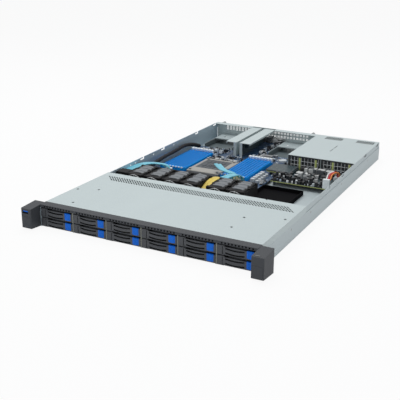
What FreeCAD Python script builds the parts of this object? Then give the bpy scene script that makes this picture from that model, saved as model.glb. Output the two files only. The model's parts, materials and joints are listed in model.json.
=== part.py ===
import FreeCAD, Part
import math
import os

# One-unit rack server with twelve 2.5-inch drive bays, shown with its rear cover off.
# Millimetres. X runs across the front, Y runs to the rear, Z runs up from the underside.
# Every piece is drawn with Y = 0 at the front edge of the chassis pan, and at the end
# all of them move together so that the origin lies under the middle of the object.

# Overall sizes
rack_width = 482.6       # across both ears, the width of a 19-inch rack
ear_width = 22.3
height = 43.5            # one rack unit less its clearance
depth = 730.0            # front edge of the pan to the rear panel
sheet = 0.8              # all folded sheet steel
front_reach = 6.0        # how far carriers and front frame stand ahead of the pan
ledge_height = 30.5      # where the side walls step in to take the cover's lips

# Side walls: places along the depth are given as shares of it
hook_shares = (0.480, 0.605, 0.836, 0.975)
hook_width = 6.0
hook_drop = 5.5
hook_reach = 10.0
hook_lip = 2.6
peep_shares = (0.409, 0.436, 0.542, 0.671)
peep_width = 3.6
peep_height = 2.6
peep_low = 35.5
screw_shares = (0.195, 0.333, 0.593, 0.863)
side_screw_height = 23.5
screw_radius = 2.4
screw_sink = 0.5
thumb_inset = 15.0       # thumbscrews on the rear panel, from its ends
thumb_radius = 4.2
thumb_length = 12.0

# Front frame and front cover
frame_depth = 18.0
frame_face = 5.0
frame_wall = 1.5
vent_size = 3.0
vent_pitch = 6.2
vent_count = 10
vent_start = 7.5
cover_length = 205.0
band_setback = 21.0      # perforated band to the cover's rear edge
band_width = 23.0
band_side = 17.0         # band's ends to the sides of the body
band_slots = 56
band_slot_width = 2.6
band_slant = 12.5
bead_width = 1.2
bead_depth = 0.25
bead_setbacks = (53.0, 80.0)
bead_side = 40.0
notch_size = 4.0
notch_spacing = 140.0
cover_screw_spacing = 171.0
cover_screw_places = ((-1.0, 102.0), (-1.0, 19.0), (0.83, 98.0), (0.83, 46.0))
edge_screw_inset = 9.5
edge_screw_places = ((-1, 86.0), (1, 123.0))

# Drive bays
bay_columns = 6
divider = 0.8
bay_play = 0.4           # side play of a carrier in its bay, both sides together
row_play = 0.5
carrier_height = 16.6
carrier_rail = 0.7
carrier_tail = 5.2       # rails reach this far behind the drive
tie_width = 8.0
drive_length = 100.4
drive_height = 15.0
drive_recess = 8.0
drive_gap = 0.3
bezel_depth = 12.0
bezel_block = 9.6        # plain block at the left end of a carrier's face
bezel_post = 1.4
lever_thickness = 4.0
lever_gap = 0.4
lug_height = 1.4
pin_radius = 1.0
pin_clearance = 0.05
grille_left = 15.5
grille_sag = 1.5
bow_steps = 4
lever_foot = 0.4         # underside of the lever's plate above the carrier's underside
lever_top = 14.7
low_slot = (2.6, 5.5)    # each slot's two long edges, at their ends
high_slot = (10.5, 13.5)
catch_width = 12.6
catch_frame = 3.0
catch_bridge = 4.0
catch_bottom = 2.6
catch_height = 12.6
catch_crown = 0.9
catch_gap = 0.2

# Drive backplane
backplane_gap = 1.2
board_thickness = 1.6
plug_depth = 4.8
plug_width = 43.0
plug_height = 6.2
air_window_low = 15.0
air_window_high = 23.0
air_window_side = 17.0

# Rack ears
ear_front = 33.0         # reach of an ear ahead of the pan
ear_back = 8.0
ear_nose_top = 41.1
ear_nose_bottom = 3.4
ear_wall = 1.6
ear_plate = 1.5
ear_chamfer = 1.0
ear_split = 25.7
flap_thickness = 2.6
flap_gap = 0.3
flap_pin_back = 4.5      # flap pin behind the ear's nose
flap_pin_height = 7.6
flap_pin_radius = 1.2
flap_stub = 2.0
rack_hole_height = 21.75
rack_hole_inset = 8.75   # rack slot's middle to the ear's outer side
rack_slot_length = 10.3
rack_slot_radius = 3.4
usb_width = 13.1
usb_height = 5.7
usb_depth = 12.0
button_length = 8.0
button_width = 3.0
button_gap = 0.2
button_pocket_depth = 5.5
button_travel = 1.0

# Fans
fan_count_left = 4
fan_count_right = 2
fan_size = 40.0
fan_length = 68.0
fan_setback = 19.0       # fans behind the front cover
fan_base = 1.6
fan_bore = 18.6
fan_side = 29.4          # left wall to the first fan
fan_gap = 3.0
fan_middle_gap = 19.8
fan_waist = 3.0
fan_notch = 3.0
hub_radius = 9.5
blade_reach = 17.9
blade_count = 5
strut_width = 1.6
rotor_run = 0.8          # air between rotors and struts
filler_depth = 24.0
post_width = 15.0        # connector post in the wide gap between the fans
post_depth = 10.0
post_setback = 4.0
post_height = 30.0

# Boards
board_top = 8.6
board_setback = 31.0     # motherboard behind the fans
board_inset = 5.4
board_reach = 43.0       # board behind the riser's front
standoff_radius = 3.0
standoff_inset = 8.0

# Memory sockets
socket_count = 8
socket_pitch = 7.45
socket_width = 6.8
socket_length = 142.0
socket_setback = 57.0
socket_height = 8.6
socket_slot = 1.5
left_bank_inset = 19.5
right_bank_inset = 40.0
tower_length = 8.0
tower_height = 12.0
latch_length = 8.0
latch_width = 5.4
latch_height = 12.6
latch_foot_radius = 1.8
latch_gap = 0.3

# Processor socket
cpu_side_gap = 6.0
cpu_setback = 55.0
cpu_length = 102.0
cpu_frame_height = 8.0
cpu_rim_side = 8.0
cpu_rim_front = 26.0
cpu_rim_back = 8.0
cpu_cover_height = 6.5
cpu_bar_width = 5.0
cpu_bar_length = 54.0
cpu_post_radius = 3.0

# Power supplies and their cage
psu_width = 73.5
psu_height = 39.4
psu_side_play = 1.7
psu_base_play = 0.6
psu_length = 203.0
psu_handle_reach = 24.0
psu_handle_bar = 5.0
psu_handle_left = 33.0
psu_handle_height = 31.0
psu_fan_radius = 15.5
psu_fan_inset = 18.0
psu_inlet_height = 20.0
psu_inlet_depth = 14.0
psu_inlet_left = 3.5
cage_reach = 2.0         # cage ahead of the supplies' fronts
cage_vent_length = 24.0
cage_vent_width = 3.2
cage_vent_pitch = 5.4
cage_vent_count = 8
cage_vent_inset = 29.0

# Risers, network-card trays and rear panel
riser_shift = 6.8        # slit between the risers, from the processor's middle
riser_slit = 9.0
riser_left_width = 26.0
riser_right_width = 27.0
riser_setback = 71.0     # risers behind the processor's frame
riser_leg = 7.0
riser_end = 10.0
flange_depth = 18.0
ocp_wall_gap = 21.4
ocp_riser_gap = 6.0
ocp_board_gap = 28.0
ocp_height = 15.5
ocp_hole_radius = 3.5
panel_joint = 0.3           # each card frame starts this far past its tray's side
panel_vent_pitch = 8.6
panel_vent_width = 6.0
left_vents = (26.0, 38.0)
right_vents = ((22.0, 27.5), (30.5, 36.0))

# Rear ports on the board's tongue: distance from its left side, width, height
rear_ports = ((4.0, 16.0, 13.0), (24.5, 13.5, 15.0), (42.5, 13.5, 15.0), (61.0, 26.0, 12.0))
port_gap = 0.4
port_depth = 18.0
port_wall = 1.2

# Power board, open tray
power_share = 0.477      # power board's length, of the room between fans and supplies
power_width = 142.0
power_top = 11.6
power_gap = 3.0
raised_width = 58.0
raised_length = 54.0
raised_left = 30.0       # reach of the raised board to the left of the power board
raised_gap = 3.4
raised_plate = 3.0
tray_width = 90.0
tray_height = 9.2
tray_wall = 1.4
tray_fan_gap = 4.0
tray_share = 0.376       # tray's length, of the same room

# Small parts on the boards
choke_size = 9.0
choke_height = 9.0
choke_pitch = 13.0
choke_count = 5
regulator_count = 6
regulator_share = 0.7    # of its pitch; the file is as wide as the processor's frame
regulator_gap = 8.0
header_length = 26.0
header_depth = 12.0
header_height = 10.0
header_pitch = 34.0
header_count = 3
header_start = 52.0
header_setback = 12.0
lead_header_shift = 6.0
lead_header_setback = 28.0
box_small = 13.0         # boxed parts on the power board
box_large = 16.0
box_count = 4
capacitor_radius = 3.8
capacitor_height = 12.0
capacitor_pitch = 9.6
capacitor_count = 8
chip_size = 28.0
chip_height = 6.0
cell_radius = 10.0
cell_height = 4.0

# Sizes worked out from the ones above: width
body_width = rack_width - 2 * ear_width
half_body = body_width / 2
half_rack = rack_width / 2
wall_top = height - sheet
upper_outer = half_body - sheet
upper_inner = upper_outer - sheet
bay_pitch = (2 * upper_inner + divider) / bay_columns
bay_clear = bay_pitch - divider
carrier_width = bay_clear - bay_play
drive_width = carrier_width - 2 * carrier_rail - 0.15
lever_right = carrier_width - bezel_post - lever_gap
catch_left = lever_right - catch_frame - catch_width
grille_right = catch_left - catch_bridge
cage_left = upper_inner - 2 * psu_width - 4 * psu_side_play - 2 * sheet
psu_lefts = (cage_left + sheet + psu_side_play,
             upper_inner - psu_side_play - psu_width)
partition_left = psu_lefts[0] + psu_width + psu_side_play
board_left = board_inset - upper_inner
board_right = cage_left - power_gap
bank_width = (socket_count - 1) * socket_pitch + socket_width
left_bank = board_left + left_bank_inset
right_bank = board_right - right_bank_inset - bank_width
cpu_left = left_bank + bank_width + cpu_side_gap
cpu_right = right_bank - cpu_side_gap - cpu_bar_width / 2
regulator_pitch = (cpu_right - cpu_left - cpu_rim_side) / regulator_count
regulator_size = regulator_share * regulator_pitch
riser_middle = (cpu_left + cpu_right) / 2 + riser_shift
riser_left_side = riser_middle - riser_slit / 2
riser_right_side = riser_middle + riser_slit / 2
tongue_left = riser_left_side - riser_left_width - 1
tongue_right = riser_right_side + riser_right_width + 25
ocp_left = ocp_wall_gap - upper_inner
ocp_left_width = riser_left_side - riser_left_width - ocp_riser_gap - ocp_left
ocp_right = riser_right_side + riser_right_width + ocp_board_gap
ocp_right_width = cage_left - 5 - ocp_right
first_fan = fan_side + fan_size / 2 - upper_inner
fan_pitch = fan_size + fan_gap
left_fans = [first_fan + step * fan_pitch for step in range(fan_count_left)]
right_fan_start = left_fans[-1] + fan_size + fan_middle_gap
right_fans = [right_fan_start + step * fan_pitch for step in range(fan_count_right)]
fan_centres = left_fans + right_fans
fan_gap_middle = (left_fans[-1] + right_fan_start) / 2
filler_left = 3 - upper_inner
filler_right = first_fan - fan_size / 2 - 0.6
power_left = cage_left + power_gap
power_right = power_left + power_width
tray_left = cage_left - 1
rack_hole_spacing = rack_width - 2 * rack_hole_inset

# Height
frame_bottom = height - frame_face
lower_row = sheet + row_play
shelf_bottom = lower_row + carrier_height + row_play + 0.2
upper_row = shelf_bottom + sheet + row_play
catch_top = catch_bottom + catch_height
fan_top = fan_base + fan_size
fan_axis = fan_base + fan_size / 2
header_top = board_top + header_height

# Length
frame_back = frame_depth - front_reach
cover_back = frame_back + cover_length
carrier_front = -front_reach
carrier_back = carrier_front + bezel_depth + drive_gap + drive_length + carrier_tail
backplane_front = carrier_back + backplane_gap + plug_depth
lever_axis_x = bezel_block + lever_gap + lever_thickness / 2
lever_axis_y = carrier_front + lever_thickness / 2
lever_back = carrier_front + lever_thickness
flap_axis_y = flap_pin_back - ear_front
flap_axis_z = flap_pin_height
fan_front = cover_back + fan_setback
fan_back = fan_front + fan_length
fan_split = fan_front + (fan_length - fan_waist) / 2
filler_back = fan_front + 4 + filler_depth
post_back = fan_front + post_setback + post_depth
board_front = fan_back + board_setback
socket_front = board_front + socket_setback
socket_back = socket_front + socket_length
latch_axis_y = socket_back + latch_length / 2
latch_axis_z = board_top + latch_foot_radius + latch_gap
cpu_front = board_front + cpu_setback
cpu_back = cpu_front + cpu_length
riser_front = cpu_back + riser_setback
riser_back = depth - riser_end
board_back = riser_front + board_reach
ocp_front = board_back + 6
ocp_plate_front = (ocp_front + depth) / 2
psu_front = depth - psu_length
psu_back = depth
cage_front = psu_front - cage_reach
power_back = cage_front - power_gap
rear_room = power_back - fan_back
power_length = power_share * rear_room
power_front = power_back - power_length
tray_front = fan_back + tray_fan_gap
tray_back = tray_front + tray_share * rear_room
rear_reach = psu_back + psu_handle_reach
origin_shift = (ear_front - rear_reach) / 2


# Small tools for plain solids
def block(x0, x1, y0, y1, z0, z1):
    return Part.makeBox(x1 - x0, y1 - y0, z1 - z0, FreeCAD.Vector(x0, y0, z0))


def rod(x, y, z, radius, length, direction):
    return Part.makeCylinder(radius, length, FreeCAD.Vector(x, y, z), FreeCAD.Vector(*direction))


def upright(solid):
    # an outline drawn clockwise gives a solid turned inside out
    if solid.Volume < 0:
        solid.reverse()
    return solid


def swept_outline(corners, push):
    wire = Part.makePolygon(corners + corners[:1])
    return upright(Part.Face(wire).extrude(FreeCAD.Vector(*push)))


def prism(x, y, z, radius, length, direction, sides=8):
    """A many-sided bar, for small round parts that repeat often."""
    turn = FreeCAD.Rotation(FreeCAD.Vector(0, 0, 1), FreeCAD.Vector(*direction))
    corners = []
    for step in range(sides):
        angle = 2 * math.pi * (step + 0.5) / sides
        flat = FreeCAD.Vector(radius * math.cos(angle), radius * math.sin(angle), 0)
        corners.append(FreeCAD.Vector(x, y, z) + turn.multVec(flat))
    push = [length * part for part in direction]
    return swept_outline(corners, push)


def profile_yz(points, x0, x1):
    corners = [FreeCAD.Vector(x0, y, z) for y, z in points]
    return swept_outline(corners, (x1 - x0, 0, 0))


def profile_xz(points, y0, y1):
    corners = [FreeCAD.Vector(x, y0, z) for x, z in points]
    return swept_outline(corners, (0, y1 - y0, 0))


def profile_xy(points, z0, z1):
    corners = [FreeCAD.Vector(x, y, z0) for x, y in points]
    return swept_outline(corners, (0, 0, z1 - z0))


def joined(shapes):
    whole = shapes[0].multiFuse(shapes[1:]).removeSplitter()
    return whole.Solids[0]


def without(shape, tools):
    return shape.cut(Part.makeCompound(tools)).Solids[0]


def mirrored(solids):
    return [s.mirror(FreeCAD.Vector(0, 0, 0), FreeCAD.Vector(1, 0, 0)) for s in solids]


def moved(solids, x, y, z):
    return [s.translated(FreeCAD.Vector(x, y, z)) for s in solids]


# Chassis
def side_wall():
    """One folded side wall: flush below the ledge, stepped in above it."""
    lower = block(upper_outer, half_body, carrier_front, depth, 0, ledge_height)
    ledge = block(upper_inner, half_body, carrier_front, depth, ledge_height - sheet, ledge_height)
    upper = block(upper_inner, upper_outer, carrier_front, depth, ledge_height - sheet, wall_top)
    wall = joined([lower, ledge, upper])
    cuts = []
    slot_low = wall_top - hook_drop
    for share in hook_shares:
        place = share * depth
        cuts.append(block(upper_inner - 1, half_body, place, place + hook_width, slot_low, height))
        cuts.append(block(upper_inner - 1, half_body, place - hook_reach, place + 1,
                          slot_low, wall_top - hook_lip))
    for share in peep_shares:
        place = share * depth
        cuts.append(block(upper_inner - 1, half_body, place, place + peep_width,
                          peep_low, peep_low + peep_height))
    for share in screw_shares:
        cuts.append(prism(half_body - screw_sink, share * depth, side_screw_height,
                          screw_radius, 2, (1, 0, 0)))
    return without(wall, cuts)


def chassis_pan():
    wall = side_wall()
    floor = block(-half_body, half_body, 0, depth, 0, sheet)
    face_room = block(-half_body - 1, half_body + 1, carrier_front, carrier_front + frame_wall,
                      frame_bottom, height)
    return [without(joined([floor, wall] + mirrored([wall])), [face_room])]


def front_frame():
    """Dark strip over the bays: a folded angle with a row of square vents above each bay."""
    top = block(-half_body, half_body, carrier_front, frame_back, wall_top, height)
    face = block(-half_body, half_body, carrier_front, carrier_front + frame_wall, frame_bottom, height)
    vents = []
    low = frame_bottom + 0.8
    for column in range(bay_columns):
        for step in range(vent_count):
            x = column * bay_pitch - upper_inner + vent_start + step * vent_pitch
            vents.append(block(x, x + vent_size, carrier_front - 1,
                               carrier_front + frame_wall + 1, low, low + vent_size))
    return [without(joined([top, face]), vents)]


def cover_screws():
    places = [(x * cover_screw_spacing, frame_back + y) for x, y in cover_screw_places]
    places += [(side * (half_body - edge_screw_inset), frame_back + y) for side, y in edge_screw_places]
    return places


def front_cover():
    """The cover over the drives: side lips, slanted air slots, beads and rear notches."""
    top = block(-half_body, half_body, frame_back, cover_back, wall_top, height)
    lips = [block(side, side + sheet, frame_back, cover_back, ledge_height, height)
            for side in (-half_body, upper_outer)]
    cuts = []
    for x in (-notch_spacing, 0, notch_spacing):
        corners = [(x - notch_size / 2, cover_back + 1), (x + notch_size / 2, cover_back + 1),
                   (x, cover_back - notch_size)]
        cuts.append(profile_xy(corners, wall_top - 1, height + 1))
    band_back = cover_back - band_setback
    band_front = band_back - band_width
    band_left = band_side - half_body
    slot_pitch = (body_width - 2 * band_side - band_slant - band_slot_width) / (band_slots - 1)
    for step in range(band_slots):
        x = band_left + step * slot_pitch
        corners = [(x, band_back), (x + band_slot_width, band_back),
                   (x + band_slot_width + band_slant, band_front), (x + band_slant, band_front)]
        cuts.append(profile_xy(corners, wall_top - 1, height + 1))
    for setback in bead_setbacks:
        cuts.append(block(bead_side - half_body, half_body - bead_side, cover_back - setback,
                          cover_back - setback + bead_width, height - bead_depth, height + 1))
    for x, y in cover_screws():
        cuts.append(prism(x, y, height - screw_sink, screw_radius, 2, (0, 0, 1)))
    return [without(joined([top] + lips), cuts)]


def drive_cage():
    """Five upright dividers and the shelf between the two rows of carriers."""
    pieces = []
    for step in range(1, bay_columns):
        x = step * bay_pitch - upper_inner - divider
        pieces.append(block(x, x + divider, carrier_front, carrier_back, sheet, frame_bottom))
    pieces.append(block(-upper_inner, upper_inner, 0, carrier_back, shelf_bottom, shelf_bottom + sheet))
    return [joined(pieces)]


# Drive carriers
def pivot_outline(start):
    """A bar from start to the lever's axis, its far end cut to half an octagon."""
    reach = lever_thickness / 2
    corner = reach * math.tan(math.pi / 8)
    way = 1 if start < lever_axis_x else -1
    return [(start, carrier_front), (lever_axis_x + way * corner, carrier_front),
            (lever_axis_x + way * reach, lever_axis_y - corner),
            (lever_axis_x + way * reach, lever_axis_y + corner),
            (lever_axis_x + way * corner, lever_back), (start, lever_back)]


def carrier_tray():
    """A carrier's bezel with the pin between its two lugs, thin rails and floor ties."""
    bezel_back = carrier_front + bezel_depth
    wall = 2.0
    left_block = block(0, bezel_block, carrier_front, bezel_back, 0, carrier_height)
    post = block(carrier_width - bezel_post, carrier_width, carrier_front, bezel_back, 0, carrier_height)
    back_wall = block(0, carrier_width, bezel_back - wall, bezel_back, 0, carrier_height)
    rails = [block(x, x + carrier_rail, bezel_back - wall, carrier_back, 0, carrier_height - wall)
             for x in (0, carrier_width - carrier_rail)]
    floor_ties = [block(0, carrier_width, y - tie_width, y, 0, carrier_rail)
                  for y in (bezel_back + drive_length / 3, carrier_back - tie_width)]
    pin = prism(lever_axis_x, lever_axis_y, 0, pin_radius, carrier_height, (0, 0, 1))
    lugs = [profile_xy(pivot_outline(bezel_block - 1), low, low + lug_height)
            for low in (0, carrier_height - lug_height)]
    air_window = block(grille_left, grille_right, bezel_back - wall - 1, bezel_back + 1,
                       wall, carrier_height - wall)
    tray = joined([left_block, post, back_wall, pin] + rails + floor_ties + lugs)
    return without(tray, [air_window])


def carrier_drive():
    left = (carrier_width - drive_width) / 2
    front = carrier_front + bezel_depth + drive_gap
    top = carrier_rail + drive_height
    body = block(left, left + drive_width, front, front + drive_length, carrier_rail, top)
    recess = block(left + drive_recess, left + drive_width - drive_recess, front + drive_recess,
                   front + drive_length - 2 * drive_recess, top - 0.3, top + 1)
    return without(body, [recess])


def bowed_edge(z):
    """Points along a grille edge that sags in its middle, from left to right."""
    points = []
    for step in range(bow_steps + 1):
        share = step / bow_steps
        sag = grille_sag * (1 - (2 * share - 1) ** 2)
        points.append((grille_left + share * (grille_right - grille_left), z - sag))
    return points


def bowed_slot(edges):
    low, high = edges
    points = bowed_edge(low) + bowed_edge(high)[::-1]
    return profile_xz(points, carrier_front - 1, lever_back + 1)


def carrier_lever():
    """The grille lever: a knuckle round the pin, two bowed slots, and the catch's frame."""
    low = lug_height + 0.3
    neck = profile_xy(pivot_outline(grille_left), low, carrier_height - low)
    plate = block(grille_left - 1.2, lever_right, carrier_front, lever_back, lever_foot, lever_top)
    bore = rod(lever_axis_x, lever_axis_y, -1, pin_radius + pin_clearance, carrier_height + 2, (0, 0, 1))
    catch_room = block(catch_left - catch_gap, catch_left + catch_width + catch_gap,
                       carrier_front - 1, lever_back - 1, catch_bottom - catch_gap, carrier_height)
    return without(joined([neck, plate]), [bore, bowed_slot(low_slot), bowed_slot(high_slot), catch_room])


def lever_catch():
    """The coloured catch at the lever's free end, with a face crowned across."""
    points = [(catch_left, lever_back - 1)]
    for step in range(bow_steps + 1):
        share = step / bow_steps
        crown = catch_crown * (1 - (2 * share - 1) ** 2)
        points.append((catch_left + share * catch_width, carrier_front - crown))
    points.append((catch_left + catch_width, lever_back - 1))
    return profile_xy(points, catch_bottom, catch_top)


def carrier_places():
    """Left side and underside of each carrier, upper row first, left to right."""
    places = []
    for row in (upper_row, lower_row):
        for column in range(bay_columns):
            places.append((column * bay_pitch - upper_inner + bay_play / 2, row))
    return places


def drive_backplane():
    """The board that the drives plug into, with air windows and a connector at each bay."""
    half = upper_inner - backplane_gap
    top = frame_bottom + 1.7
    board = block(-half, half, backplane_front, backplane_front + board_thickness, sheet, top)
    windows = []
    plugs = []
    for column in range(bay_columns):
        left = column * bay_pitch - upper_inner
        windows.append(block(left + air_window_side, left + bay_pitch - air_window_side, backplane_front - 1,
                             backplane_front + board_thickness + 1, air_window_low, air_window_high))
    for left, low in carrier_places():
        plug_left = left + (carrier_width - plug_width) / 2
        plugs.append(block(plug_left, plug_left + plug_width, carrier_back + backplane_gap, backplane_front,
                           low + 2, low + 2 + plug_height))
    return [without(board, windows)] + plugs


# Rack ears
def ear_side_outline():
    return [(-ear_front, ear_nose_bottom), (-ear_front, ear_nose_top), (ear_back, height), (ear_back, 0)]


def rack_slot():
    """The slotted hole that takes the rack screw."""
    flat = rack_slot_length / 2 - rack_slot_radius
    front = ear_back - ear_plate - 1
    slot_x = rack_hole_spacing / 2
    ends = [rod(x, front, rack_hole_height, rack_slot_radius, ear_plate + 2, (0, 1, 0))
            for x in (slot_x - flat, slot_x + flat)]
    bridge = block(slot_x - flat, slot_x + flat, front, ear_back + 1,
                   rack_hole_height - rack_slot_radius, rack_hole_height + rack_slot_radius)
    return joined([bridge] + ends)


def right_ear():
    """Moulded housing over a steel flange, with room for a screwdriver behind the flap."""
    inside = half_body + ear_wall
    outside = half_rack - ear_wall
    plate_front = ear_back - ear_plate
    throat = flap_axis_y + 7
    shell = profile_yz(ear_side_outline(), half_body, half_rack)
    front_edges = [e for e in shell.Edges if e.BoundBox.YMax < 1 - ear_front and e.BoundBox.XLength < 0.1]
    shell = shell.makeChamfer(ear_chamfer, front_edges)
    room = profile_yz([(-ear_front - 1, -1), (throat, -1), (throat, ear_nose_bottom + 1.2),
                       (plate_front, ear_wall + 0.8), (plate_front, ear_split),
                       (-ear_front - 1, ear_split)], inside, outside)
    plate_room = block(half_body - 1, half_rack + 1, plate_front, ear_back + 1, -1, height + 1)
    shell = without(shell, [room, plate_room])
    pins = [rod(x, flap_axis_y, flap_axis_z, flap_pin_radius, flap_stub + 0.4, (1, 0, 0))
            for x in (inside - 0.4, outside - flap_stub)]
    shell = joined([shell] + pins)
    flange = block(half_body, half_rack, plate_front, ear_back, 0, height)
    return [shell, without(flange, [rack_slot()])]


def button_middle():
    return (half_body + half_rack) / 2 - 2, 4.6 - ear_front


def button_floor():
    return ear_nose_top - button_pocket_depth


def right_ear_with_button():
    shell, flange = right_ear()
    x, y = button_middle()
    half_l = button_length / 2 + button_gap
    half_w = button_width / 2 + button_gap
    pocket = block(x - half_l, x + half_l, y - half_w, y + half_w, button_floor(), height)
    return [without(shell, [pocket]), flange]


def power_button():
    """A rounded key in the top of the right ear; it is pressed down."""
    x, y = button_middle()
    half_l = button_length / 2
    half_w = button_width / 2
    key = block(x - half_l, x + half_l, y - half_w, y + half_w,
                button_floor() + button_travel + 0.3, ear_nose_top + 0.9)
    return [key.makeFillet(0.7, [e for e in key.Edges if abs(e.tangentAt(e.FirstParameter).z) > 0.9])]


def left_ear():
    """The other ear, with a USB port in place of the button."""
    shell, flange = mirrored(right_ear())
    port_x = -(half_body + half_rack) / 2 - 1
    port_z = ear_nose_top - 6.5
    half = usb_width / 2
    back = usb_depth - ear_front
    port = block(port_x - half, port_x + half, -ear_front - 1, back,
                 port_z - usb_height / 2, port_z + usb_height / 2)
    tongue = block(port_x - half + port_wall, port_x + half - port_wall, ear_wall - ear_front, back,
                   port_z + 0.4, port_z + 2.3)
    return [without(shell, [port]), flange, tongue]


def right_ear_flap():
    """The lower front of an ear: it swings forward on a pin to bare the rack screw."""
    inside = half_body + ear_wall + flap_gap
    outside = half_rack - ear_wall - flap_gap
    face = block(inside, outside, -ear_front, flap_thickness - ear_front,
                 ear_nose_bottom, ear_split - flap_gap)
    barrel_radius = flap_pin_back - flap_thickness + 1.2
    barrel = rod(inside, flap_axis_y, flap_axis_z, barrel_radius, outside - inside, (1, 0, 0))
    web = block(inside, outside, flap_thickness - ear_front - 0.5, flap_axis_y,
                flap_axis_z - 1.6, flap_axis_z + 1.6)
    bore = rod(inside - 1, flap_axis_y, flap_axis_z, flap_pin_radius + pin_clearance,
               outside - inside + 2, (1, 0, 0))
    return [without(joined([face, barrel, web]), [bore])]


# Fans
def fan_housing():
    """One double-length square fan body about x = 0: bore, waist, corner notches and struts."""
    half = fan_size / 2
    body = block(-half, half, fan_front, fan_back, fan_base, fan_top)
    feet = [block(2 - half, half - 2, y, y + 8, sheet, fan_base + 0.5)
            for y in (fan_front + 2, fan_back - 10)]
    flat_radius = fan_bore / math.cos(math.pi / 16)
    bore = prism(0, fan_front - 1, fan_axis, flat_radius, fan_length + 2, (0, 1, 0), 16)
    cuts = [bore]
    for x0 in (-half - 1, half - fan_notch):
        for y in (fan_front + 5, fan_split + fan_waist + 5):
            cuts.append(block(x0, x0 + fan_notch + 1, y, fan_split - fan_front + y - 10,
                              fan_top - fan_notch, fan_top + 1))
    cuts.append(block(-half - 1, half + 1, fan_split, fan_split + fan_waist, fan_top - 1.2, fan_top + 1))
    housing = without(joined([body] + feet), cuts)
    bars = []
    for y in (fan_split - strut_width, fan_back - 2 * strut_width):
        bars.append(block(-fan_bore - 0.6, fan_bore + 0.6, y, y + strut_width,
                          fan_axis - strut_width / 2, fan_axis + strut_width / 2))
        bars.append(block(-strut_width / 2, strut_width / 2, y, y + strut_width,
                          fan_axis - fan_bore - 0.6, fan_axis + fan_bore + 0.6))
    return joined([housing] + bars)


def impeller(hub, front, length, lean, count):
    """Flat blades on a hub, leaning to one side, about the fan's axis."""
    blades = []
    for step in range(count):
        corners = [FreeCAD.Vector(-lean - 0.6, front + 1, fan_axis),
                   FreeCAD.Vector(-lean + 0.6, front + 1, fan_axis),
                   FreeCAD.Vector(lean + 0.6, front + length - 1, fan_axis),
                   FreeCAD.Vector(lean - 0.6, front + length - 1, fan_axis)]
        blade = swept_outline(corners, (0, 0, blade_reach - 1.0))
        blade.rotate(FreeCAD.Vector(0, front, fan_axis), FreeCAD.Vector(0, 1, 0), 360.0 * step / count)
        blades.append(blade)
    return joined([hub] + blades)


def fan_rotor():
    """The front and the rear impeller of one fan, leaning opposite ways."""
    front_start = fan_front + 2
    front_length = fan_split - strut_width - rotor_run - front_start
    rear_start = fan_split + rotor_run
    rear_length = fan_back - 2 * strut_width - rotor_run - rear_start
    front_hub = rod(0, front_start, fan_axis, hub_radius, front_length, (0, 1, 0))
    rear_hub = prism(0, rear_start, fan_axis, hub_radius, rear_length, (0, 1, 0), 12)
    return [impeller(front_hub, front_start, front_length, 4.0, blade_count),
            impeller(rear_hub, rear_start, rear_length, -4.0, blade_count - 1)]


def fan_housings():
    housing = fan_housing()
    solids = []
    for centre in fan_centres:
        solids += moved([housing], centre, 0, 0)
    solids.append(block(filler_left, filler_right, filler_back - filler_depth, filler_back,
                        sheet, fan_top - 1))
    solids.append(block(fan_gap_middle - post_width / 2, fan_gap_middle + post_width / 2,
                        post_back - post_depth, post_back, sheet, sheet + post_height))
    return solids


# Boards
def standoffs(places, low, high):
    return [prism(x, y, low, standoff_radius, high - low, (0, 0, 1), 6) for x, y in places]


def motherboard():
    """The main board with its narrower tongue to the rear ports, on hexagonal standoffs."""
    underside = board_top - board_thickness
    edge = depth - 4
    outline = [(board_left, board_front), (board_right, board_front), (board_right, board_back),
               (tongue_right, board_back), (tongue_right, edge),
               (tongue_left, edge), (tongue_left, board_back), (board_left, board_back)]
    board = profile_xy(outline, underside, board_top)
    middle = (board_left + board_right) / 2
    places = [(x, y) for x in (board_left + standoff_inset, middle, board_right - standoff_inset)
              for y in (board_front + standoff_inset, board_back - standoff_inset)]
    places += [(x, edge - standoff_inset)
               for x in (tongue_left + standoff_inset, tongue_right - standoff_inset)]
    return [board] + standoffs(places, sheet, underside)


def memory_socket():
    """One memory socket at x = 0: a long body with its slot, front tower and rear cheeks."""
    top = board_top + socket_height
    body = block(0, socket_width, socket_front, socket_back, board_top, top)
    tower = block(0, socket_width, socket_front - tower_length, socket_front, board_top,
                  board_top + tower_height)
    middle = socket_width / 2
    slot = block(middle - socket_slot / 2, middle + socket_slot / 2, socket_front - 3,
                 socket_back + 1, board_top + 3, board_top + tower_height + 1)
    return without(joined([body, tower]), [slot])


def bank_places():
    return [left + step * socket_pitch for left in (left_bank, right_bank) for step in range(socket_count)]


def memory_latch():
    """The tilting latch behind one memory socket: rounded foot, slim neck and thumb end."""
    left = (socket_width - latch_width) / 2
    y = latch_axis_y
    z = latch_axis_z
    top = board_top + latch_height
    radius = latch_foot_radius
    places = ((y + radius, z), (y + radius + 1, top - 4), (y + radius + 1, top),
              (y - radius - 1, top), (y - radius - 1, top - 3), (y - radius, z))
    corners = [FreeCAD.Vector(left, back, high) for back, high in places]
    foot = Part.Arc(corners[-1], FreeCAD.Vector(left, y, z - radius), corners[0])
    edges = [foot.toShape()]
    for start, end in zip(corners, corners[1:]):
        edges.append(Part.LineSegment(start, end).toShape())
    return upright(Part.Face(Part.Wire(edges)).extrude(FreeCAD.Vector(latch_width, 0, 0)))


def latch_cheeks():
    """The two cheeks of a socket that hold its latch's foot."""
    cheek = (socket_width - latch_width) / 2 - 0.1
    return [block(x, x + cheek, socket_back, socket_back + latch_length, board_top, board_top + 5)
            for x in (0, socket_width - cheek)]


def repeated(solids):
    rows = []
    for x in bank_places():
        rows += moved(solids, x, 0, 0)
    return rows


def dimm_sockets():
    return repeated([joined([memory_socket()] + latch_cheeks())])


def dimm_latches():
    return repeated([memory_latch()])


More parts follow.
